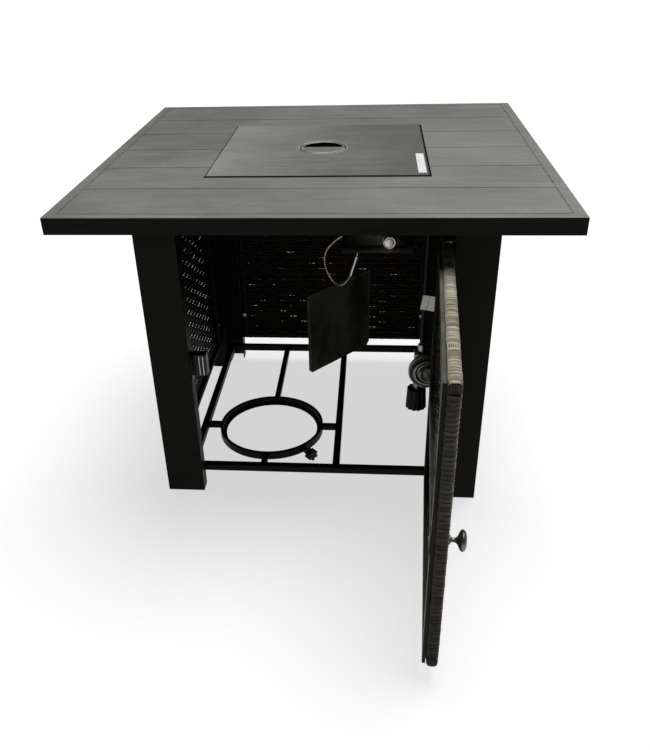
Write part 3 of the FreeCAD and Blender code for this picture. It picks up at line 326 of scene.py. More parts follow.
def addStudio(spec):
    floorFinish = bpy.data.materials.new("studioFloor")
    floorFinish.use_nodes = True
    g = Graph(floorFinish.node_tree)
    floorFinish.node_tree.nodes.remove(floorFinish.node_tree.nodes["Principled BSDF"])
    rays = g.tree.nodes.new("ShaderNodeLightPath")
    seen = Flow(g, rays.outputs["Is Camera Ray"]).most(Flow(g, rays.outputs["Is Glossy Ray"]))
    seen = seen.most(Flow(g, rays.outputs["Is Transmission Ray"]))
    pale = g.blend(g.noise(g.place(), 3, 2), *spec["floor"])
    bare = g.node("ShaderNodeBsdfDiffuse", None, {"Color": pale})
    glow = g.node("ShaderNodeEmission", None, {"Color": (1, 1, 1), "Strength": spec["floorGlow"]})
    both = g.node("ShaderNodeAddShader", None, {0: bare, 1: glow})
    dim = g.node("ShaderNodeBsdfDiffuse", None, {"Color": spec["bounce"]})
    out = g.tree.nodes["Material Output"]
    g.feed(out.inputs["Surface"], g.node("ShaderNodeMixShader", None, {0: seen, 1: dim, 2: both}))
    half = spec["floorSide"] / 2
    corners = [(-half, -half, 0), (half, -half, 0), (half, half, 0), (-half, half, 0)]
    sheet = bpy.data.meshes.new("studioFloor")
    sheet.from_pydata(corners, [], [(0, 1, 2, 3)])
    sheet.materials.append(floorFinish)
    floor = bpy.data.objects.new("studioFloor", sheet)
    bpy.context.scene.collection.objects.link(floor)

    world = bpy.data.worlds.new("studioAir")
    world.use_nodes = True
    bpy.context.scene.world = world
    g = Graph(world.node_tree)
    rays = g.tree.nodes.new("ShaderNodeLightPath")
    seen = Flow(g, rays.outputs["Is Camera Ray"]).most(Flow(g, rays.outputs["Is Transmission Ray"]))
    strength = seen * (1 - spec["air"]) + spec["air"]
    back = g.tree.nodes["Background"]
    g.feed(back.inputs["Color"], (1, 1, 1))
    g.feed(back.inputs["Strength"], strength)

    for name in ("overhead", "front"):
        lamp = bpy.data.lights.new(name + "Lamp", "SUN")
        lamp.energy = spec[name]
        lamp.angle = math.radians(spec[name + "Spread"])
        holder = bpy.data.objects.new(name + "Lamp", lamp)
        holder.rotation_euler = [math.radians(turn) for turn in spec[name + "Tilt"]]
        bpy.context.scene.collection.objects.link(holder)
    bpy.context.scene.view_settings.view_transform = "Standard"


addStudio(studio)
print("studio lit")


# Finishes of the steel, plastic and brass

deckLook = {
    "plankPitch": 0.3875 / 3,
    "plankHalf": 0.3875,
    "plankEnd": 0.3675,  # no seam between planks is drawn past this
    "top": (0.122, 0.122, 0.114),
    "topLight": (0.285, 0.284, 0.270),
    # faces that do not face up: partly the black apron, partly painted shade on faces turned from the
    # overhead light
    "side": (0.0088, 0.0095, 0.0053),
    # the dark of the plank joints, and of the painted shadow lines at the lid's gap
    "line": (0.02, 0.02, 0.019),
    "scuff": (0.33, 0.33, 0.32),
    "paintedSheen": (0.48, -0.28, 0.44),  # painted sheen: how much paler the deck gets along x and y, and in the middle
    # the same painted sheen across the lid
    "lidPaintedSheen": (-2.3, 0, 0.3),
    "seam": (0.0006, 0.0016),  # where a line is full, and where it has faded
    "border": (0.0002, 0.0012),
    "mitre": (0.0002, 0.0016),
    "lip": (0.0004, 0.0012),
    "lidGap": 0.0025,
    "lipInset": 0.0005,
    "lidEdgeShade": (0.0008, 0.0026),
}
lidLow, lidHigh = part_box("lid_panel")


def deckPaint(g, planks=True):
    spot = g.place()
    x, y, z = g.split(spot)
    up = g.split(g.facing())[2]
    grain = g.noise(g.vector(x * 7, y * 190, z * 190), 1, 5, 0.6)
    fine = g.noise(g.vector(x * 160, y * 420, z), 1, 2, 0.6)
    broad = g.noise(spot, 4.5, 3, 0.55)
    dust = g.noise(g.vector(x * 10, y * 26, z), 1, 4, 0.6)
    alongX, alongY, level = deckLook["paintedSheen" if planks else "lidPaintedSheen"]
    # Painted sheen: the deck grows paler along x and y; the noise layers add random tone
    amount = x * alongX + y * alongY + level
    for layer, share in ((grain, 0.75), (fine, 0.45), (broad, 0.8), (dust, 0.5)):
        amount = amount + (layer - 0.5) * share
    colour = g.blend(amount.within(0, 1), deckLook["top"], deckLook["topLight"])
    specks = g.noise(g.vector(x * 60, y * 110, z), 1, 2)
    patches = g.noise(spot, 6.5, 1)
    scuff = specks.ramp(0.68, 0.78) * patches.ramp(0.52, 0.62)
    colour = g.blend(scuff * 0.5, colour, deckLook["scuff"])
    if planks:
        pitch, half = deckLook["plankPitch"], deckLook["plankHalf"]
        nearest = (y / pitch - (y / pitch).round()) * pitch
        inside = abs(x).below(half) * abs(y).below(deckLook["plankEnd"])
        seam = nearest.near(*deckLook["seam"]) * inside
        reach = abs(x).most(abs(y))
        border = (reach - half).near(*deckLook["border"]) * 0.35
        mitre = (abs(x) - abs(y)).near(*deckLook["mitre"]) * reach.above(half) * 0.3
        hole = lidHigh.x + deckLook["lidGap"]
        # A painted shadow line along the front of the lid's opening
        lip = (y + hole + deckLook["lipInset"]).near(*deckLook["lip"]) * abs(x).below(hole)
        jointsAndGapShade = seam.most(border).most(mitre).most(lip) * up.ramp(0.3, 0.6)
        colour = g.blend(jointsAndGapShade * 0.85, colour, deckLook["line"])
    # Faces that do not face up get the side colour: partly the black apron, partly painted shade
    colour = g.blend(up.ramp(0.35, 0.85), deckLook["side"], colour)
    return {
        "Base Color": colour,
        "Roughness": (0.5 + (grain - 0.5) * 0.25 + (broad - 0.5) * 0.2).within(0.3, 0.8),
        "Normal": g.bump(grain, 0.12, 0.0006),
    }


def lidPaint(g):
    made = deckPaint(g, planks=False)
    x, y, z = g.split(g.place())
    # Painted shade along the lid's front and right edges
    edge = (y - lidLow.y).least(lidHigh.x - x).near(*deckLook["lidEdgeShade"])
    made["Base Color"] = g.blend(edge * 0.9, made["Base Color"], deckLook["line"])
    return made


def framePaint(g):
    spot = g.place()
    x, y, z = g.split(spot)
    orange = g.noise(spot, 700, 2)
    wear = g.noise(spot, 9, 4, 0.6)
    scratch = g.noise(g.vector(x * 240, y * 240, z * 16), 1, 3)
    colour = g.blend(wear.ramp(0.35, 0.75), (0.0195, 0.0205, 0.0138), (0.0295, 0.031, 0.0212))
    colour = g.blend(scratch.ramp(0.7, 0.82) * 0.25, colour, (0.05, 0.05, 0.046))
    return {
        "Base Color": colour,
        "Roughness": 0.48 + (wear - 0.5) * 0.3,
        "Normal": g.bump(orange, 0.12, 0.0003),
    }


def steelPaint(g):
    spot = g.place()
    x, y, z = g.split(spot)
    brushed = g.noise(g.vector(x * 400, y * 400, z * 20), 1, 3)
    stain = g.noise(spot, 25, 3)
    return {
        "Base Color": g.blend(stain, (0.62, 0.61, 0.59), (0.45, 0.44, 0.42)),
        "Roughness": 0.28 + brushed * 0.2 + stain * 0.1,
        "Normal": g.bump(brushed, 0.1, 0.0003),
    }


def zincPaint(g):
    spot = g.place()
    cells = g.node("ShaderNodeTexVoronoi", None, {"Vector": spot, "Scale": 260.0}, "Color")
    stain = g.noise(spot, 60, 2)
    pale = g.blend(stain, (0.42, 0.42, 0.41), (0.26, 0.26, 0.25))
    return {
        "Base Color": g.blend(0.12, pale, cells),
        "Roughness": 0.34 + stain * 0.2,
    }


rimLook = {
    "clean": (0.2, 0.2, 0.193),
    "worn": (0.34, 0.34, 0.325),
    "shadow": (0.035, 0.035, 0.033),
    "groove": 0.0433,  # the radius of the dark groove between the rings
    "grooveEdge": (0.0010, 0.0019),
}


def rimPaint(g):
    spot = g.place()
    x, y, z = g.split(spot)
    grain = g.noise(spot, 240, 3)
    wear = g.noise(spot, 30, 3)
    groove = ((x * x + y * y) ** 0.5 - rimLook["groove"]).near(*rimLook["grooveEdge"])
    colour = g.blend(wear.ramp(0.35, 0.7), rimLook["clean"], rimLook["worn"])
    return {
        "Base Color": g.blend(groove, colour, rimLook["shadow"]),
        "Roughness": 0.42 + (grain - 0.5) * 0.2,
    }


barLook = {
    "clean": (0.07, 0.075, 0.058),
    "worn": (0.125, 0.132, 0.104),
    "dust": (0.075, 0.066, 0.046),
    "dustLight": (0.11, 0.097, 0.07),
    "dustTop": (0.20, 0.32),  # the heights between which the dust ends
}


def barPaint(g):
    spot = g.place()
    x, y, z = g.split(spot)
    wear = g.noise(spot, 24, 4, 0.6)
    clean = g.blend(wear.ramp(0.35, 0.75), barLook["clean"], barLook["worn"])
    dusty = g.blend(wear, barLook["dust"], barLook["dustLight"])
    return {
        "Base Color": g.blend((z + (wear - 0.5) * 0.1).ramp(*barLook["dustTop"]), dusty, clean),
        "Roughness": 0.42 + (wear - 0.5) * 0.3,
        "Normal": g.bump(g.noise(spot, 600, 2), 0.12, 0.0003),
    }


controlLook = {
    "tone": (0.4, 0.4, 0.34),
    "wearAndLightFleck": (0.42, 0.42, 0.4),
    "foot": (0.5045, 0.506),  # painted light: the upturned foot is flecked paler below these heights
}


def controlPaint(g):
    spot = g.place()
    x, y, z = g.split(spot)
    base = framePaint(g)
    colour = g.blend(0.8, base["Base Color"], controlLook["tone"])
    flecks = g.noise(g.vector(x * 420, y * 300, z * 700), 1, 3, 0.7)
    # Painted light in flecks on the foot; the scattered patches are wear
    foot = (1 - z.ramp(*controlLook["foot"])) * flecks.ramp(0.36, 0.56)
    wear = g.noise(spot, 60, 3).ramp(0.58, 0.74) * 0.35
    base["Base Color"] = g.blend(foot.most(wear), colour, controlLook["wearAndLightFleck"])
    return base


tagPaper = {
    "clean": (0.9, 0.87, 0.77),
    "stained": (0.72, 0.67, 0.55),
    "creaseShade": (0.3, 0.24, 0.17),
    "creaseAt": (0.199, 0.393),  # a point of the fold, along x and up
    "creaseLean": 0.158,
    "creaseEdge": (0.0003, 0.0014),
}


def labelPaint(g):
    spot = g.place()
    x, y, z = g.split(spot)
    fibre = g.noise(spot, 800, 3)
    stain = g.noise(spot, 40, 3)
    colour = g.blend(stain.ramp(0.4, 0.75), tagPaper["clean"], tagPaper["stained"])
    acrossFold, upFold = tagPaper["creaseAt"]
    # Painted shade along the tag's fold
    creaseShade = (x - (z - upFold) * tagPaper["creaseLean"] - acrossFold).near(*tagPaper["creaseEdge"])
    colour = g.blend(creaseShade * 0.6, colour, tagPaper["creaseShade"])
    return {
        "Base Color": colour,
        # Painted light: the paper glows faintly in its own colour
        "Emission Color": colour,
        "Roughness": 0.6 + (fibre - 0.5) * 0.2,
        "Normal": g.bump(fibre, 0.1, 0.0002),
    }


plateLook = {
    "dark": (0.12, 0.13, 0.1),
    "smear": (0.38, 0.4, 0.315),
    # painted highlight along the plates' sides, top and cut edges
    "border": (0.5, 0.53, 0.51),
    "faces": (0.7478, -0.6639, 0.0),  # the way the plates face
    "sideHighlightBand": (0.0768, 0.0774),
    "topHighlightBand": 0.0045,
    "topEdge": 0.001,
}


def placardPaint(g):
    spot = g.place()
    x, y, z = g.split(spot)
    fine = g.noise(g.vector(x * 900, y * 900, z * 60), 1, 3)
    smear = g.noise(g.vector(x * 16, y * 16, z * 8), 1, 3)
    colour = g.blend(smear.ramp(0.35, 0.7), plateLook["dark"], plateLook["smear"])
    product = {"operation": "DOT_PRODUCT"}
    toFront = g.node("ShaderNodeVectorMath", product, {0: g.facing(), 1: plateLook["faces"]}, "Value")
    low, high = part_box("placards")
    centre = (low + high) / 2
    faceX, faceY = plateLook["faces"][:2]
    across = abs((x - centre.x) * -faceY + (y - centre.y) * faceX)
    # Painted highlight: pale bands along the sides and top, and on the cut edges
    fromTop = (z - high.z + plateLook["topHighlightBand"]).ramp(0.0, plateLook["topEdge"])
    border = across.ramp(*plateLook["sideHighlightBand"]).most(fromTop * smear.ramp(0.42, 0.55)) * 0.55
    cutEdgeHighlight = 1 - abs(toFront).ramp(0.5, 0.9)
    return {
        "Base Color": g.blend(border.most(cutEdgeHighlight), colour, plateLook["border"]),
        "Roughness": 0.4 + (smear - 0.5) * 0.3,
        "Normal": g.bump(fine, 0.12, 0.0003),
    }


# Finishes that only wear in patches, laid out as rubberLook is
wornLooks = {
    "brass": {
        "clean": (0.5, 0.37, 0.15), "worn": (0.26, 0.17, 0.07), "patches": (45, 3), "reach": (0.35, 0.75),
        "rough": 0.405, "spread": 0.25,
    },
    "cast": {
        "clean": (0.13, 0.13, 0.12), "worn": (0.3, 0.29, 0.26), "patches": (40, 3), "reach": (0.35, 0.7),
        "rough": 0.3, "spread": 0.25, "pits": (520, 3), "relief": (0.25, 0.0004),
    },
    "catch": {
        "clean": (0.026, 0.027, 0.022), "worn": (0.055, 0.056, 0.046), "patches": (60, 3),
        "reach": (0.35, 0.75), "rough": 0.36, "spread": 0.25, "pits": (500, 2), "relief": (0.15, 0.0003),
    },
    # near black: painted shade inside the lid pull's cup
    "hollow": {
        "clean": (0.002, 0.002, 0.002), "worn": (0.006, 0.006, 0.006), "patches": (45, 3),
        "rough": 0.7, "spread": 0.2,
    },
    "plastic": {
        "clean": (0.008, 0.008, 0.0078), "worn": (0.022, 0.0215, 0.019), "patches": (35, 3),
        "reach": (0.45, 0.75), "rough": 0.42, "spread": 0.3, "pits": (1100, 2), "relief": (0.2, 0.0003),
    },
    "knob": {
        "clean": (0.66, 0.64, 0.6), "worn": (0.5, 0.48, 0.44), "patches": (70, 3),
        "rough": 0.375, "spread": 0.15, "pits": (300, 2), "relief": (0.08, 0.0003),
    },
    "pewter": {
        "clean": (0.09, 0.085, 0.08), "worn": (0.2, 0.19, 0.175), "patches": (55, 3), "reach": (0.3, 0.7),
        "rough": 0.4, "spread": 0.2,
    },
    "film": {
        "clean": (0.86, 0.88, 0.9), "worn": (0.72, 0.73, 0.75), "patches": (30, 2), "reach": (0.4, 0.7),
        "rough": 0.4, "spread": 0.1,
    },
}
worn = {key: wornPaint(look) for key, look in wornLooks.items()}

finishes = {
    "deckTop": finish("plankedSteel", deckPaint, {"Specular IOR Level": 0.1}),
    "lidTop": finish("lidSteel", lidPaint, {"Specular IOR Level": 0.15}),
    "frame": finish("blackSteel", framePaint, {"Specular IOR Level": 0.08}),
    "steel": finish("burnerSteel", steelPaint, {"Metallic": 1.0}),
    "zinc": finish("zincPlate", zincPaint, {"Metallic": 1.0}),
    "brass": finish("yellowBrass", worn["brass"], {"Metallic": 1.0}),
    "cast": finish("castZinc", worn["cast"], {"Metallic": 0.85}),
    "catch": finish("catchPlastic", worn["catch"], {"Specular IOR Level": 0.25}),
    "rim": finish("pressedRim", rimPaint, {"Specular IOR Level": 0.3}),
    "hollow": finish("pullCupShade", worn["hollow"], {"Specular IOR Level": 0.05}),
    "bar": finish("greySteelBar", barPaint, {"Specular IOR Level": 0.06}),
    "control": finish("controlSteel", controlPaint, {"Specular IOR Level": 0.15}),
    "plastic": finish("mouldedPlastic", worn["plastic"], {"Specular IOR Level": 0.15}),
    "knob": finish("satinKnob", worn["knob"], {"Metallic": 1.0}),
    "pewter": finish("darkPewter", worn["pewter"], {"Metallic": 0.9}),
    # the tag's faint glow is painted light
    "tag": finish("tagPaper", labelPaint, {"Emission Strength": 0.2}),
    "film": finish("labelFilm", worn["film"]),
    "placard": finish("laminatedSheet", placardPaint, {"Specular IOR Level": 0.2}),
}

# The nodes that are seen as they are
nodeFinishes = {
    "frame": "foot_plates header_rail top_rail_back top_rails_side tank_ring ring_screw_boss panel_frames"
             " door_frame pivot_brackets lid_ledge",
    "steel": "burner_pan burner lanyard_ferrule electrode_pins",
    "zinc": "ring_screw pivot_pins screw_heads door_knob_screw catch_poles lanyard_hook"
            " valve_stem hose_crimp regulator_neck",
    "bar": "strike_plate",
    "brass": "gas_valve orifice_block hose_elbow feed_tube",
    "plastic": "ring_screw_head igniter_housing igniter_button",
    "film": "lid_label",
}
for key, names in nodeFinishes.items():
    for name in names.split():
        mesh = frame["nodes"][name].data
        mesh.materials.clear()
        mesh.materials.append(finishes[key])
print("finishes made:", len(finishes))


# Woven resin: flat strands in pairs, in and out of flat stakes, and round the frame

# The tree's inputs by name, the same for every panel, in metres apart from the seed
weaveSizes = {
    "Stile": 0.019,
    "Stake Pitch": 0.025,
    "Stake Width": 0.0048,
    "Strand Pitch": 0.00715,
    "Strand Width": 0.0083,
    "Strand Thickness": 0.0014,
    "Sway": 0.0009,  # how far a strand bends to each side
    "Wrap Pitch": 0.0072,
    "Thickness": 0.019,
    "Looseness": 0.0016,
    "Seam": 0.092,  # how far from the panel's end the top wraps have their gap
    "Seed": 7,
}
wickerLook = {
    "dark": (0.045, 0.036, 0.024),
    "mid": (0.163, 0.133, 0.088),
    "pale": (0.55, 0.51, 0.425),
    "foot": (0.072, 0.056, 0.033),
    "bay": (0.0045, 0.004, 0.0032),  # painted shade on the panels' faces that look into the bay
    "footTop": (0.02, 0.44),  # the heights between which the brown of the foot ends
    "doorBack": -0.276,  # the door's weave lies in front of this y
}


def wickerPaint(g):
    tone, across = g.note("tone"), g.note("across")
    spot = g.place()
    x, y, z = g.split(spot)
    faceX, faceY, faceZ = g.split(g.facing())
    streak = g.noise(g.vector(across * 3.2 + tone * 90, tone * 37, 0.0), 1, 3, 0.65)
    along = g.noise(spot, 70, 3)
    pale, mid = wickerLook["pale"], wickerLook["mid"]
    colour = g.blend(streak.ramp(0.3, 0.62), mid, pale)
    colour = g.blend((tone * 0.9 + (along - 0.5) - 0.1).within(0, 1), colour, mid)
    colour = g.blend(abs(across).ramp(0.62, 1.0) * 0.9, colour, wickerLook["dark"])
    colour = g.blend((1 - z.ramp(*wickerLook["footTop"])) * 0.74, colour, wickerLook["foot"])
    onTable = y.above(wickerLook["doorBack"])
    # Painted light: the door's weave is paler on faces turned towards -x
    colour = g.blend((0 - faceX).ramp(0.3, 0.9) * (1 - onTable) * 0.45, colour, pale)
    # Painted shade on the table's panels where their faces turn into the bay
    inwardShade = (0 - faceX * x - faceY * y).ramp(0.02, 0.12) * onTable
    colour = g.blend(inwardShade * 0.93, colour, wickerLook["bay"])
    return {
        "Base Color": colour,
        "Roughness": 0.42 + (streak - 0.5) * 0.3,
        "Normal": g.bump(streak, 0.3, 0.0005),
    }


wickerFinish = finish("wovenResin", wickerPaint, {"Specular IOR Level": 0.07})

strandShape = {
    "bury": 0.006,  # strands and stakes run on this far under the wraps
    "cuts": 10,  # a strand's cuts between two stakes
    "flank": 1.5,  # how quickly a strand passes from one side of the stakes to the other
    "stray": (22, 3.7),  # how often a strand strays, along it and from one to the next
    "drift": (5.1, 14),  # the same for a stake, from one to the next and up it
    "stakeThick": 0.9,
}
wrapShape = {
    "square": 1.2,  # 1 is a round ring, and more is a squarer one
    "crown": 0.1,
    "overlap": 0.53,  # half a wrap's width, in wraps
    "bow": 0.13,
    "footNarrow": 0.42,  # how much the lowest wraps narrow downwards
    "slimmest": 0.945,
    "lean": 0.05,
    "skew": 0.07,
    "endLength": 0.012,  # the wraps at both ends of a row are slimmer
    "endSlim": 0.04,
    "seamReach": 0.9,
    "seamSlim": 0.2,
}
# Strand ends that are folded over the frame, side by side
tabShape = {
    "count": 6,
    "wide": 0.17,
    "long": 0.43,
    "waist": 0.12,
    "curl": 0.0022,
    "inset": 0.0004,
    "lowSpread": 0.58,
    "highSpread": 0.78,
    "fanSpread": 0.75,
    "fanInset": 0.0012,
    "fanLean": 0.12,
}


def weaveTree():
    tree = bpy.data.node_groups.new("wovenPanel", "GeometryNodeTree")
    g = Graph(tree)
    tree.interface.new_socket("Geometry", in_out="OUTPUT", socket_type="NodeSocketGeometry")
    for name in ("Width", "Height", *weaveSizes):
        kind = "NodeSocketInt" if name == "Seed" else "NodeSocketFloat"
        tree.interface.new_socket(name, in_out="INPUT", socket_type=kind)
    tree.interface.new_socket("Finish", in_out="INPUT", socket_type="NodeSocketMaterial")
    given = tree.nodes.new("NodeGroupInput")

    def size(name):
        return Flow(g, given.outputs[name])

    wide, high, stile, seed = size("Width"), size("Height"), size("Stile"), size("Seed")
    innerWide = wide - stile * 2
    innerHigh = high - stile * 2
    bays = (innerWide / size("Stake Pitch")).round()
    pitch = innerWide / bays
    rows = ((innerHigh / size("Strand Pitch") / 2).round()) * 2
    rowPitch = innerHigh / rows
    thick = size("Strand Thickness") / 2
    spot = g.node("GeometryNodeInputPosition")
    index = g.node("GeometryNodeInputIndex")
    x, y, z = g.split(spot)

    def tube(sides, cuts, long):
        values = {"Vertices": sides, "Side Segments": cuts, "Radius": 1.0, "Depth": long}
        return g.node("GeometryNodeMeshCylinder", {"fill_type": "NONE"}, values, "Mesh")

    def noted(shape, name, value, domain="POINT"):
        settings = {"data_type": "FLOAT", "domain": domain}
        values = {"Geometry": shape, "Name": name, "Value": value}
        return g.node("GeometryNodeStoreNamedAttribute", settings, values)

    def moved(shape, position):
        return g.node("GeometryNodeSetPosition", None, {"Geometry": shape, "Position": position})

    def anyOf(low, high, salt):
        values = {"Min": low, "Max": high, "ID": index, "Seed": seed + salt}
        return g.node("FunctionNodeRandomValue", {"data_type": "FLOAT"}, values, "Value")

    def copies(count, start, step, piece, salt, turn=None, scale=None):
        values = {"Count": count, "Start Location": start, "Offset": step}
        line = g.node("GeometryNodeMeshLine", {"mode": "OFFSET"}, values)
        values = {"Points": line, "Instance": piece}
        if turn is not None:
            values["Rotation"] = turn
        if scale is not None:
            values["Scale"] = scale
        placed = g.node("GeometryNodeInstanceOnPoints", None, values)
        toned = noted(placed, "tone", anyOf(0.0, 1.0, salt), "INSTANCE")
        return g.node("GeometryNodeRealizeInstances", None, {"Geometry": toned})

    # Weft strands, two to a row, over one stake and under the next
    form = strandShape
    halfStrand = size("Strand Width") * 0.5
    weft = noted(tube(4, bays * form["cuts"], innerWide + 2 * form["bury"]), "across", x)
    weft = moved(weft, g.vector(z, y * thick, x * halfStrand * -1))
    weft = copies(rows, g.vector(wide / 2, 0.0, stile + rowPitch / 2), g.vector(0.0, 0.0, rowPitch), weft, 1)
    across = g.node("GeometryNodeInputNamedAttribute", {"data_type": "FLOAT"}, {"Name": "across"})
    strand = (z + across * halfStrand - stile) / rowPitch
    side = 1 - ((strand / 2).floor() % 2) * 2
    wave = (((x - stile) / pitch * math.pi).sine() * form["flank"]).within(-1, 1)
    often, apart = form["stray"]
    stray = g.noise(g.vector(x * often, strand.floor() * apart, 0.0), 1, 1) - 0.5
    weft = moved(weft, g.vector(x, y + wave * side * size("Sway"), z + stray * size("Looseness")))

    # Stakes, which are set out a metre apart first and then moved to their places
    stake = noted(tube(4, rows, innerHigh + 2 * form["bury"]), "across", x)
    stake = moved(stake, g.vector(x * size("Stake Width") * 0.5, y * thick * form["stakeThick"], z))
    stakes = copies(bays, g.vector(0.0, 0.0, high / 2), g.vector(1.0, 0.0, 0.0), stake, 2)
    which = x.round()
    home = stile + (which + 0.5) * pitch
    apart, often = form["drift"]
    drift = (g.noise(g.vector(which * apart, z * often, 3.0), 1, 1) - 0.5) * size("Looseness") * 0.5
    stakes = moved(stakes, g.vector(home + (x - which) + drift, y, z))

    # Wraps round the four sides of the frame
    form = wrapShape
    half = size("Thickness") / 2
    wrapPitch = size("Wrap Pitch")
    band = noted(tube(16, 3, 2.0), "across", z)
    crown = (1 - z * z * form["crown"]) * half
    flatX, flatY = (x * form["square"]).within(-1, 1), (y * form["square"]).within(-1, 1)
    bow = (flatX * flatX + flatY * flatY - 1.5) * wrapPitch * form["bow"]
    bend = z * wrapPitch * form["overlap"] + bow
    narrow = 1 - flatX.most(0) ** 3 * form["footNarrow"]
    ring = moved(band, g.vector(flatX * crown, flatY * crown, bend))
    lowRing = moved(band, g.vector(flatX * crown, flatY * crown * narrow, bend))
    acrossCount = (wide / wrapPitch).floor()
    acrossPitch = wide / acrossCount
    uprightCount = (innerHigh / wrapPitch).round()
    uprightPitch = innerHigh / uprightCount
    swell = g.vector(anyOf(form["slimmest"], 1.0, 11), anyOf(form["slimmest"], 1.0, 12), 1.0)
    fromEnd = wide - (index + 0.5) * acrossPitch
    slim = 1 - fromEnd.least(wide - fromEnd).ramp(0.0, form["endLength"])
    atSeam = abs(fromEnd - size("Seam")).below(wrapPitch * form["seamReach"])
    lean, skew = form["lean"], form["skew"]
    wraps = []
    for salt, level, piece in ((3, stile / 2, lowRing), (4, high - stile / 2, ring)):
        turn = g.vector(0.0, math.pi / 2 + anyOf(-lean, lean, salt + 20), anyOf(-skew, skew, salt + 30))
        girth = 1 - slim * form["endSlim"]
        if piece is ring:
            girth = girth * (1 - atSeam * form["seamSlim"])
        values = {0: swell, 1: g.vector(girth, girth, 1.0)}
        scale = g.node("ShaderNodeVectorMath", {"operation": "MULTIPLY"}, values)
        wraps.append(copies(acrossCount, g.vector(acrossPitch / 2, 0.0, level),
                            g.vector(acrossPitch, 0.0, 0.0), piece, salt, turn, scale))
    for salt, middle in ((5, stile / 2), (6, wide - stile / 2)):
        turn = g.vector(anyOf(-skew, skew, salt + 20), anyOf(-lean, lean, salt + 30), 0.0)
        wraps.append(copies(uprightCount, g.vector(middle, 0.0, stile + uprightPitch / 2),
                            g.vector(0.0, 0.0, uprightPitch), ring, salt, turn, swell))

    # Folded ends over the four corners, and a fan of them in a gap of the top wraps
    form = tabShape
    tab = noted(tube(4, 6, 2.0), "across", x)
    curl = z * z * z * z * form["curl"]
    tab = moved(tab, g.vector(y * thick - curl, x * half * -form["wide"] * (1 - z * z * form["waist"]),
                              z * stile * form["long"]))
    count = form["count"]
    gap = 2 / (count - 1)
    levels = ((0, stile / 2, form["lowSpread"]), (50, high - stile / 2, form["highSpread"]))
    ends = []
    for salt, edge, turn in ((7, form["inset"], math.pi), (8, wide - form["inset"], 0.0)):
        for extra, level, reach in levels:
            start, step = g.vector(edge, half * -reach, level), g.vector(0.0, half * reach * gap, 0.0)
            ends.append(copies(count, start, step, tab, salt + extra, g.vector(0.0, 0.0, turn)))
    reach, lean = form["fanSpread"], form["fanLean"]
    fan = g.vector(wide - size("Seam"), half * -reach, high - form["fanInset"])
    ends.append(copies(count, fan, g.vector(0.0, half * reach * gap, 0.0), tab, 90,
                       g.vector(0.0, -math.pi / 2, anyOf(-lean, lean, 91))))

    joined = g.node("GeometryNodeJoinGeometry", None, {"Geometry": [weft, stakes, *wraps, *ends]})
    smooth = g.node("GeometryNodeSetShadeSmooth", None, {"Geometry": joined})
    whole = g.node("GeometryNodeRealizeInstances", None, {"Geometry": smooth})
    coated = g.node("GeometryNodeSetMaterial", None, {"Geometry": whole, "Material": size("Finish")})
    result = tree.nodes.new("NodeGroupOutput")
    g.feed(result.inputs["Geometry"], coated)
    return tree


def grown(name, tree, values):
    # The mesh that a node tree makes, as a plain object
    seedMesh = bpy.data.meshes.new(name + "Seed")
    holder = bpy.data.objects.new(name + "Seed", seedMesh)
    bpy.context.scene.collection.objects.link(holder)
    modifier = holder.modifiers.new("grow", "NODES")
    modifier.node_group = tree
    sockets = {s.name: s.identifier for s in tree.interface.items_tree if s.in_out == "INPUT"}
    for key, value in values.items():
        modifier[sockets[key]] = value
    graph = bpy.context.evaluated_depsgraph_get()
    mesh = bpy.data.meshes.new_from_object(holder.evaluated_get(graph), depsgraph=graph)
    bpy.data.objects.remove(holder)
    piece = bpy.data.objects.new(name, mesh)
    mesh.name = name
    bpy.context.scene.collection.objects.link(piece)
    return piece


panelTree = weaveTree()


def addPanel(name, node, width, height, corner, along, tightness):
    # corner is the lower end of the panel's mid-plane, along the direction of its width
    piece = grown(name, panelTree, {
        **weaveSizes, "Width": width, "Height": height, "Sway": weaveSizes["Sway"] * tightness,
        "Finish": wickerFinish,
    })
    u = Vector((*along, 0)).normalized()
    w = Vector((0, 0, 1)).cross(u)
    turn = Matrix((u, w, Vector((0, 0, 1)))).transposed().to_4x4()
    piece.data.transform(Matrix.Translation(corner) @ turn)
    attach(piece, frame["nodes"][node]["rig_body"])
    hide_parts(node)
    print(name, "triangles:", sum(len(p.vertices) - 2 for p in piece.data.polygons))


# The node that each panel stands for, the way its width runs, and its share of the sway
panelPlaces = {
    "panelBack": ("panel_weave_back", (-1, 0), 1.28),
    "panelLeft": ("panel_weave_left", (0, -1), 0.54),
    "panelRight": ("panel_weave_right", (0, 1), 0.54),
}
for name, (node, along, tightness) in panelPlaces.items():
    low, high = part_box(node)
    width = max(high.x - low.x, high.y - low.y)
    corner = (low + high) / 2 - Vector((*along, 0)) * width / 2
    corner.z = low.z
    addPanel(name, node, width, high.z - low.z, corner, along, tightness)

doorPlace = {
    "hinge": (0.2200045, -0.2880446),
    "open": 86.7,
    "start": -0.0078,
    "end": 0.4526,
    "tightness": 0.75,
}
turnedBy = math.radians(180 + doorPlace["open"])
doorAlong = Vector((math.cos(turnedBy), math.sin(turnedBy), 0))
doorLow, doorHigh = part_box("door_weave")
doorCorner = Vector((*doorPlace["hinge"], doorLow.z)) + doorAlong * doorPlace["start"]
addPanel("doorPanel", "door_weave", doorPlace["end"] - doorPlace["start"], doorHigh.z - doorLow.z,
         doorCorner, doorAlong[:2], doorPlace["tightness"])
print("woven panels made")


# Steel pieces with their folds and edges eased

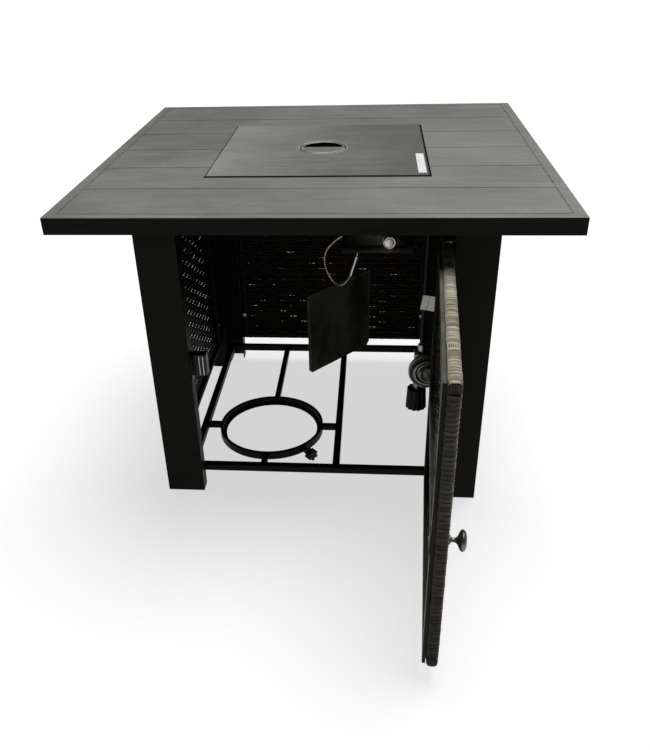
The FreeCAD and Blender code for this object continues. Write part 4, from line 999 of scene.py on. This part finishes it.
# Each node's piece, how wide its edges are eased, its finish and its slot
easing = {
    "table_top": ("deckShell", 0.0007, "deckTop", "deck_steel"),
    "lid_panel": ("lidShell", 0.0006, "lidTop", "deck_steel"),
    "leg_front_left": ("legFrontLeft", 0.0007, "frame", "frame_steel"),
    "leg_front_right": ("legFrontRight", 0.0007, "frame", "frame_steel"),
    "leg_back_left": ("legBackLeft", 0.0007, "frame", "frame_steel"),
    "leg_back_right": ("legBackRight", 0.0007, "frame", "frame_steel"),
    "base_rails_cross": ("floorRailsCross", 0.0012, "frame", "frame_steel"),
    "base_rails_side": ("floorRailsSide", 0.0012, "frame", "frame_steel"),
    "control_panel": ("controlPlate", 0.0005, "control", "deck_steel"),
    "ring_stubs": ("ringStubs", 0.001, "frame", "frame_steel"),
    "placards": ("hangingPlates", 0.00025, "placard", "placard_black"),
    "door_backing": ("doorBars", 0.0008, "bar", "frame_steel"),
    "hand_wheel": ("handWheel", 0.0008, "plastic", "black_plastic"),
    "catch_housing": ("catchCase", 0.0009, "catch", "cast_grey"),
}
# In degrees: faces flatter than flat are joined, edges past hard are eased, and past crisp not blended
angles = {"flat": 0.5, "hard": 35, "crisp": 50, "turnedCrisp": 40}
wheelLook = {
    "topWidth": 0.80,
    "bottomWidth": 0.90,
    "shoulder": 0.30,  # the share of the height that narrows at the top
    "foot": 0.6,  # and at the bottom
    "hub": 0.0175,  # what is inside this radius stays as it is
}


def gripped(mesh):
    # The hand wheel narrows to both ends
    low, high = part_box("hand_wheel")
    centre = (low + high) / 2
    shoulder, foot = wheelLook["shoulder"], wheelLook["foot"]
    for vert in mesh.vertices:
        up = (vert.co.z - low.z) / (high.z - low.z)
        top = max(0, (up - 1 + shoulder) / shoulder) ** 2
        bottom = max(0, 1 - up / foot) ** 2
        size = 1 - top * (1 - wheelLook["topWidth"]) - bottom * (1 - wheelLook["bottomWidth"])
        if math.hypot(vert.co.x - centre.x, vert.co.y - centre.y) > wheelLook["hub"]:
            vert.co.x = centre.x + (vert.co.x - centre.x) * size
            vert.co.y = centre.y + (vert.co.y - centre.y) * size


def smoothed(mesh, crisp):
    for face in mesh.polygons:
        face.use_smooth = True
    mesh.set_sharp_from_angle(angle=math.radians(crisp))


def softened(node, name, width, key):
    source = frame["nodes"][node]
    flat, hard = math.radians(angles["flat"]), math.radians(angles["hard"])
    work = bmesh.new()
    work.from_mesh(source.data)
    bmesh.ops.remove_doubles(work, verts=work.verts, dist=1e-6)
    bmesh.ops.dissolve_limit(work, angle_limit=flat, verts=work.verts, edges=work.edges)
    edges = [e for e in work.edges if len(e.link_faces) == 2 and e.calc_face_angle(0) > hard]
    bmesh.ops.bevel(work, geom=edges, offset=width, offset_type="OFFSET", segments=2, profile=0.5,
                    affect="EDGES", clamp_overlap=True)
    mesh = bpy.data.meshes.new(name)
    work.to_mesh(mesh)
    work.free()
    if node == "hand_wheel":
        gripped(mesh)
    mesh.materials.append(finishes[key])
    piece = bpy.data.objects.new(name, mesh)
    bpy.context.scene.collection.objects.link(piece)
    smoothed(mesh, angles["crisp"])
    even = piece.modifiers.new("even", "WEIGHTED_NORMAL")
    even.keep_sharp = True
    graph = bpy.context.evaluated_depsgraph_get()
    piece.data = bpy.data.meshes.new_from_object(piece.evaluated_get(graph), depsgraph=graph)
    piece.modifiers.clear()
    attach(piece, source["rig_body"])
    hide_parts(node)


for node, (name, width, key, slot) in easing.items():
    softened(node, name, width, key)
print("steel edges eased")

# Turned pieces: each profile lists a distance along the axis and a radius, in mm

turnedSides = 64


def settled(name, work, stand, key, node):
    # A finished mesh put at its place on the part
    bmesh.ops.remove_doubles(work, verts=work.verts, dist=1e-7)
    bmesh.ops.recalc_face_normals(work, faces=work.faces)
    mesh = bpy.data.meshes.new(name)
    work.to_mesh(mesh)
    work.free()
    mesh.transform(stand)
    mesh.materials.append(finishes[key])
    smoothed(mesh, angles["turnedCrisp"])
    piece = bpy.data.objects.new(name, mesh)
    bpy.context.scene.collection.objects.link(piece)
    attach(piece, frame["nodes"][node]["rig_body"])
    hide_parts(node)


def addTurned(name, spec):
    start, axis = Vector(spec["start"]), Vector(spec["axis"]).normalized()
    work = bmesh.new()
    line = [work.verts.new((radius / 1000, 0, along / 1000)) for along, radius in spec["profile"]]
    edges = [work.edges.new(pair) for pair in zip(line, line[1:])]
    bmesh.ops.spin(work, geom=line + edges, cent=(0, 0, 0), axis=(0, 0, 1), angle=math.tau,
                   steps=turnedSides)
    turn = Vector((0, 0, 1)).rotation_difference(axis).to_matrix().to_4x4()
    stand = Matrix.Translation(start / 1000) @ turn
    settled(name, work, stand, spec["finish"], spec["node"])


def onDoor(along, out, up):
    # A place on the open door, in mm: along its width, out from its middle, and up
    outward = Vector((-doorAlong.y, doorAlong.x, 0))
    hinge = Vector((*doorPlace["hinge"], 0)) * 1000
    return tuple(hinge + doorAlong * along + outward * out + Vector((0, 0, up)))


lidTop = lidHigh.z * 1000
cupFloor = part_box("lid_pull")[0].z * 1000 - lidTop
turnedPieces = {
    "doorPull": {
        "node": "door_knob", "finish": "pewter", "slot": "knob_metal",
        "start": onDoor(424.2, 9.5, 268), "axis": (-doorAlong.y, doorAlong.x, 0),
        "profile": [
            (0, 0), (0, 6.0), (0.6, 6.5), (2.4, 6.5), (3.2, 5.9), (3.6, 4.1), (4.6, 3.4), (7.4, 3.2),
            (9.8, 3.5), (11.8, 4.9), (13.4, 7.6), (14.8, 11.0), (16.2, 13.4), (17.8, 14.7), (19.4, 15.0),
            (21.0, 14.6), (22.6, 13.2), (23.8, 10.8), (24.5, 7.8), (24.9, 4.2), (25.0, 0)],
    },
    "regulatorFace": {
        "node": "regulator_cap", "finish": "cast", "slot": "cast_grey",
        "start": (203.5, -239, 259), "axis": (0, -1, 0),
        "profile": [
            (-1, 0), (-1, 31), (0.4, 33.6), (1.2, 35), (4.9, 35), (6.2, 34.2), (6.6, 32.9), (5.9, 31.7),
            (4.9, 31.1), (4.7, 29.4), (5.6, 28.6), (7.4, 27.9), (10.6, 26.4), (12.2, 24.9), (13.0, 22.8),
            (12.6, 21.2), (10.9, 19.9), (10.4, 18.0), (11.0, 16.4), (17.4, 16.0), (19.1, 15.0),
            (20.0, 13.4), (19.7, 11.8), (18.2, 10.8), (17.9, 8.0), (18.3, 3.4), (18.4, 0)],
    },
    "gasKnob": {
        "node": "control_knob", "finish": "knob", "slot": "knob_metal",
        "start": (126, -251.3, 518), "axis": (0, -1, 0),
        "profile": [
            (0, 0), (0, 11.0), (0.7, 11.8), (2.6, 12.0), (3.2, 11.3), (4.2, 11.3), (4.8, 11.8),
            (10.6, 11.4), (12.1, 10.7), (12.8, 9.8), (12.7, 9.1), (12.1, 8.6), (12.1, 8.0), (12.7, 7.4),
            (13.0, 6.4), (13.0, 0)],
    },
    "pullRing": {
        "node": "lid_pull", "finish": "rim", "slot": "deck_steel",
        "start": (0, 0, lidTop), "axis": (0, 0, 1),
        "profile": [
            (-12.0, 44.4), (-1.2, 43.6), (-1.0, 38.8), (0.2, 38.4), (0.8, 38.9), (1.1, 39.9), (0.8, 40.9),
            (0.1, 41.7), (-0.1, 43.3), (0.1, 44.9), (0.8, 45.9), (1.15, 47.3), (0.8, 48.5), (0.0, 49.1),
            (-0.8, 46.0), (-12.0, 46.0), (-12.0, 44.4)],
    },
    "pullCup": {
        "node": "lid_pull", "finish": "hollow", "slot": "deck_steel",
        "start": (0, 0, lidTop), "axis": (0, 0, 1),
        "profile": [
            (cupFloor, 0), (cupFloor, 46.0), (-12.0, 46.0), (-12.0, 44.8), (cupFloor + 4.0, 44.8),
            (cupFloor + 1.8, 43.9), (cupFloor + 1.2, 41.6), (cupFloor + 1.2, 0)],
    },
}
for name, spec in turnedPieces.items():
    addTurned(name, spec)
print("turned pieces made:", len(turnedPieces))


# The half cover of the lid's pull, the regulator's block and the folded tag, in mm

coverLook = {"radius": 39.0, "chord": 5, "thick": 1.2, "steps": 40, "round": 0.35}
blockLook = {"low": (179.5, -239, 225), "high": (205.5, -213, 293), "round": 3.2}
tagLook = {
    "centre": (200, -232.6, 393),
    "wide": 26,
    "high": 28,
    "thick": 0.6,
    "columns": (0, 0.15, 0.3, 0.44, 0.46, 0.48, 0.62, 0.8, 1),
    "rows": 4,
    "fold": 0.46,  # the share of its width where it is folded
    "tilt": 9,
    "curl": 1.5,
    "curlPower": 1.3,
    "proud": 0.3,
}


def addCover(spec):
    radius, chord = spec["radius"] / 1000, spec["chord"] / 1000
    first = math.asin(chord / radius)
    sweep = math.pi + 2 * first
    turns = [math.pi - first + sweep * i / spec["steps"] for i in range(spec["steps"] + 1)]
    work = bmesh.new()
    rim = [work.verts.new((radius * math.cos(t), radius * math.sin(t), 0)) for t in turns]
    pushed = bmesh.ops.extrude_face_region(work, geom=[work.faces.new(rim)])["geom"]
    for vert in (item for item in pushed if isinstance(item, bmesh.types.BMVert)):
        vert.co.z -= spec["thick"] / 1000
    upper = [e for e in work.edges if max(abs(v.co.z) for v in e.verts) < 1e-9]
    bmesh.ops.bevel(work, geom=upper, offset=spec["round"] / 1000, segments=2, profile=0.5, affect="EDGES")
    stand = Matrix.Translation((0, 0, lidTop / 1000))
    settled("pullCover", work, stand, "lidTop", "lid_pull")


def addBlock(spec):
    low, high = Vector(spec["low"]) / 1000, Vector(spec["high"]) / 1000
    work = bmesh.new()
    bmesh.ops.create_cube(work, size=1)
    bmesh.ops.scale(work, vec=high - low, verts=work.verts)
    bmesh.ops.bevel(work, geom=work.edges[:], offset=spec["round"] / 1000, segments=3, profile=0.5,
                    affect="EDGES")
    stand = Matrix.Translation((low + high) / 2)
    settled("regulatorBlock", work, stand, "cast", "regulator_body")


def addTag(spec):
    rows, last = spec["rows"], len(spec["columns"]) - 1
    work = bmesh.new()
    sheets = []
    for back in (0, spec["thick"]):
        grid = []
        for share in spec["columns"]:
            deep = back + spec["proud"] - spec["curl"] * abs(share - spec["fold"]) ** spec["curlPower"]
            across = (share - 0.5) * spec["wide"]
            grid.append([work.verts.new((across / 1000, deep / 1000, (r / rows - 0.5) * spec["high"] / 1000))
                         for r in range(rows + 1)])
        sheets.append(grid)
    for grid in sheets:
        for i in range(last):
            for r in range(rows):
                work.faces.new((grid[i][r], grid[i + 1][r], grid[i + 1][r + 1], grid[i][r + 1]))
    front, rear = sheets
    for i in range(last):
        for r in (0, rows):
            work.faces.new((front[i][r], front[i + 1][r], rear[i + 1][r], rear[i][r]))
    for i in (0, last):
        for r in range(rows):
            work.faces.new((front[i][r], front[i][r + 1], rear[i][r + 1], rear[i][r]))
    tilt = Matrix.Rotation(math.radians(spec["tilt"]), 4, "Y")
    stand = Matrix.Translation(Vector(spec["centre"]) / 1000) @ tilt
    settled("foldedTag", work, stand, "tag", "hose_tag")


addCover(coverLook)
addBlock(blockLook)
addTag(tagLook)
print("small pieces made")
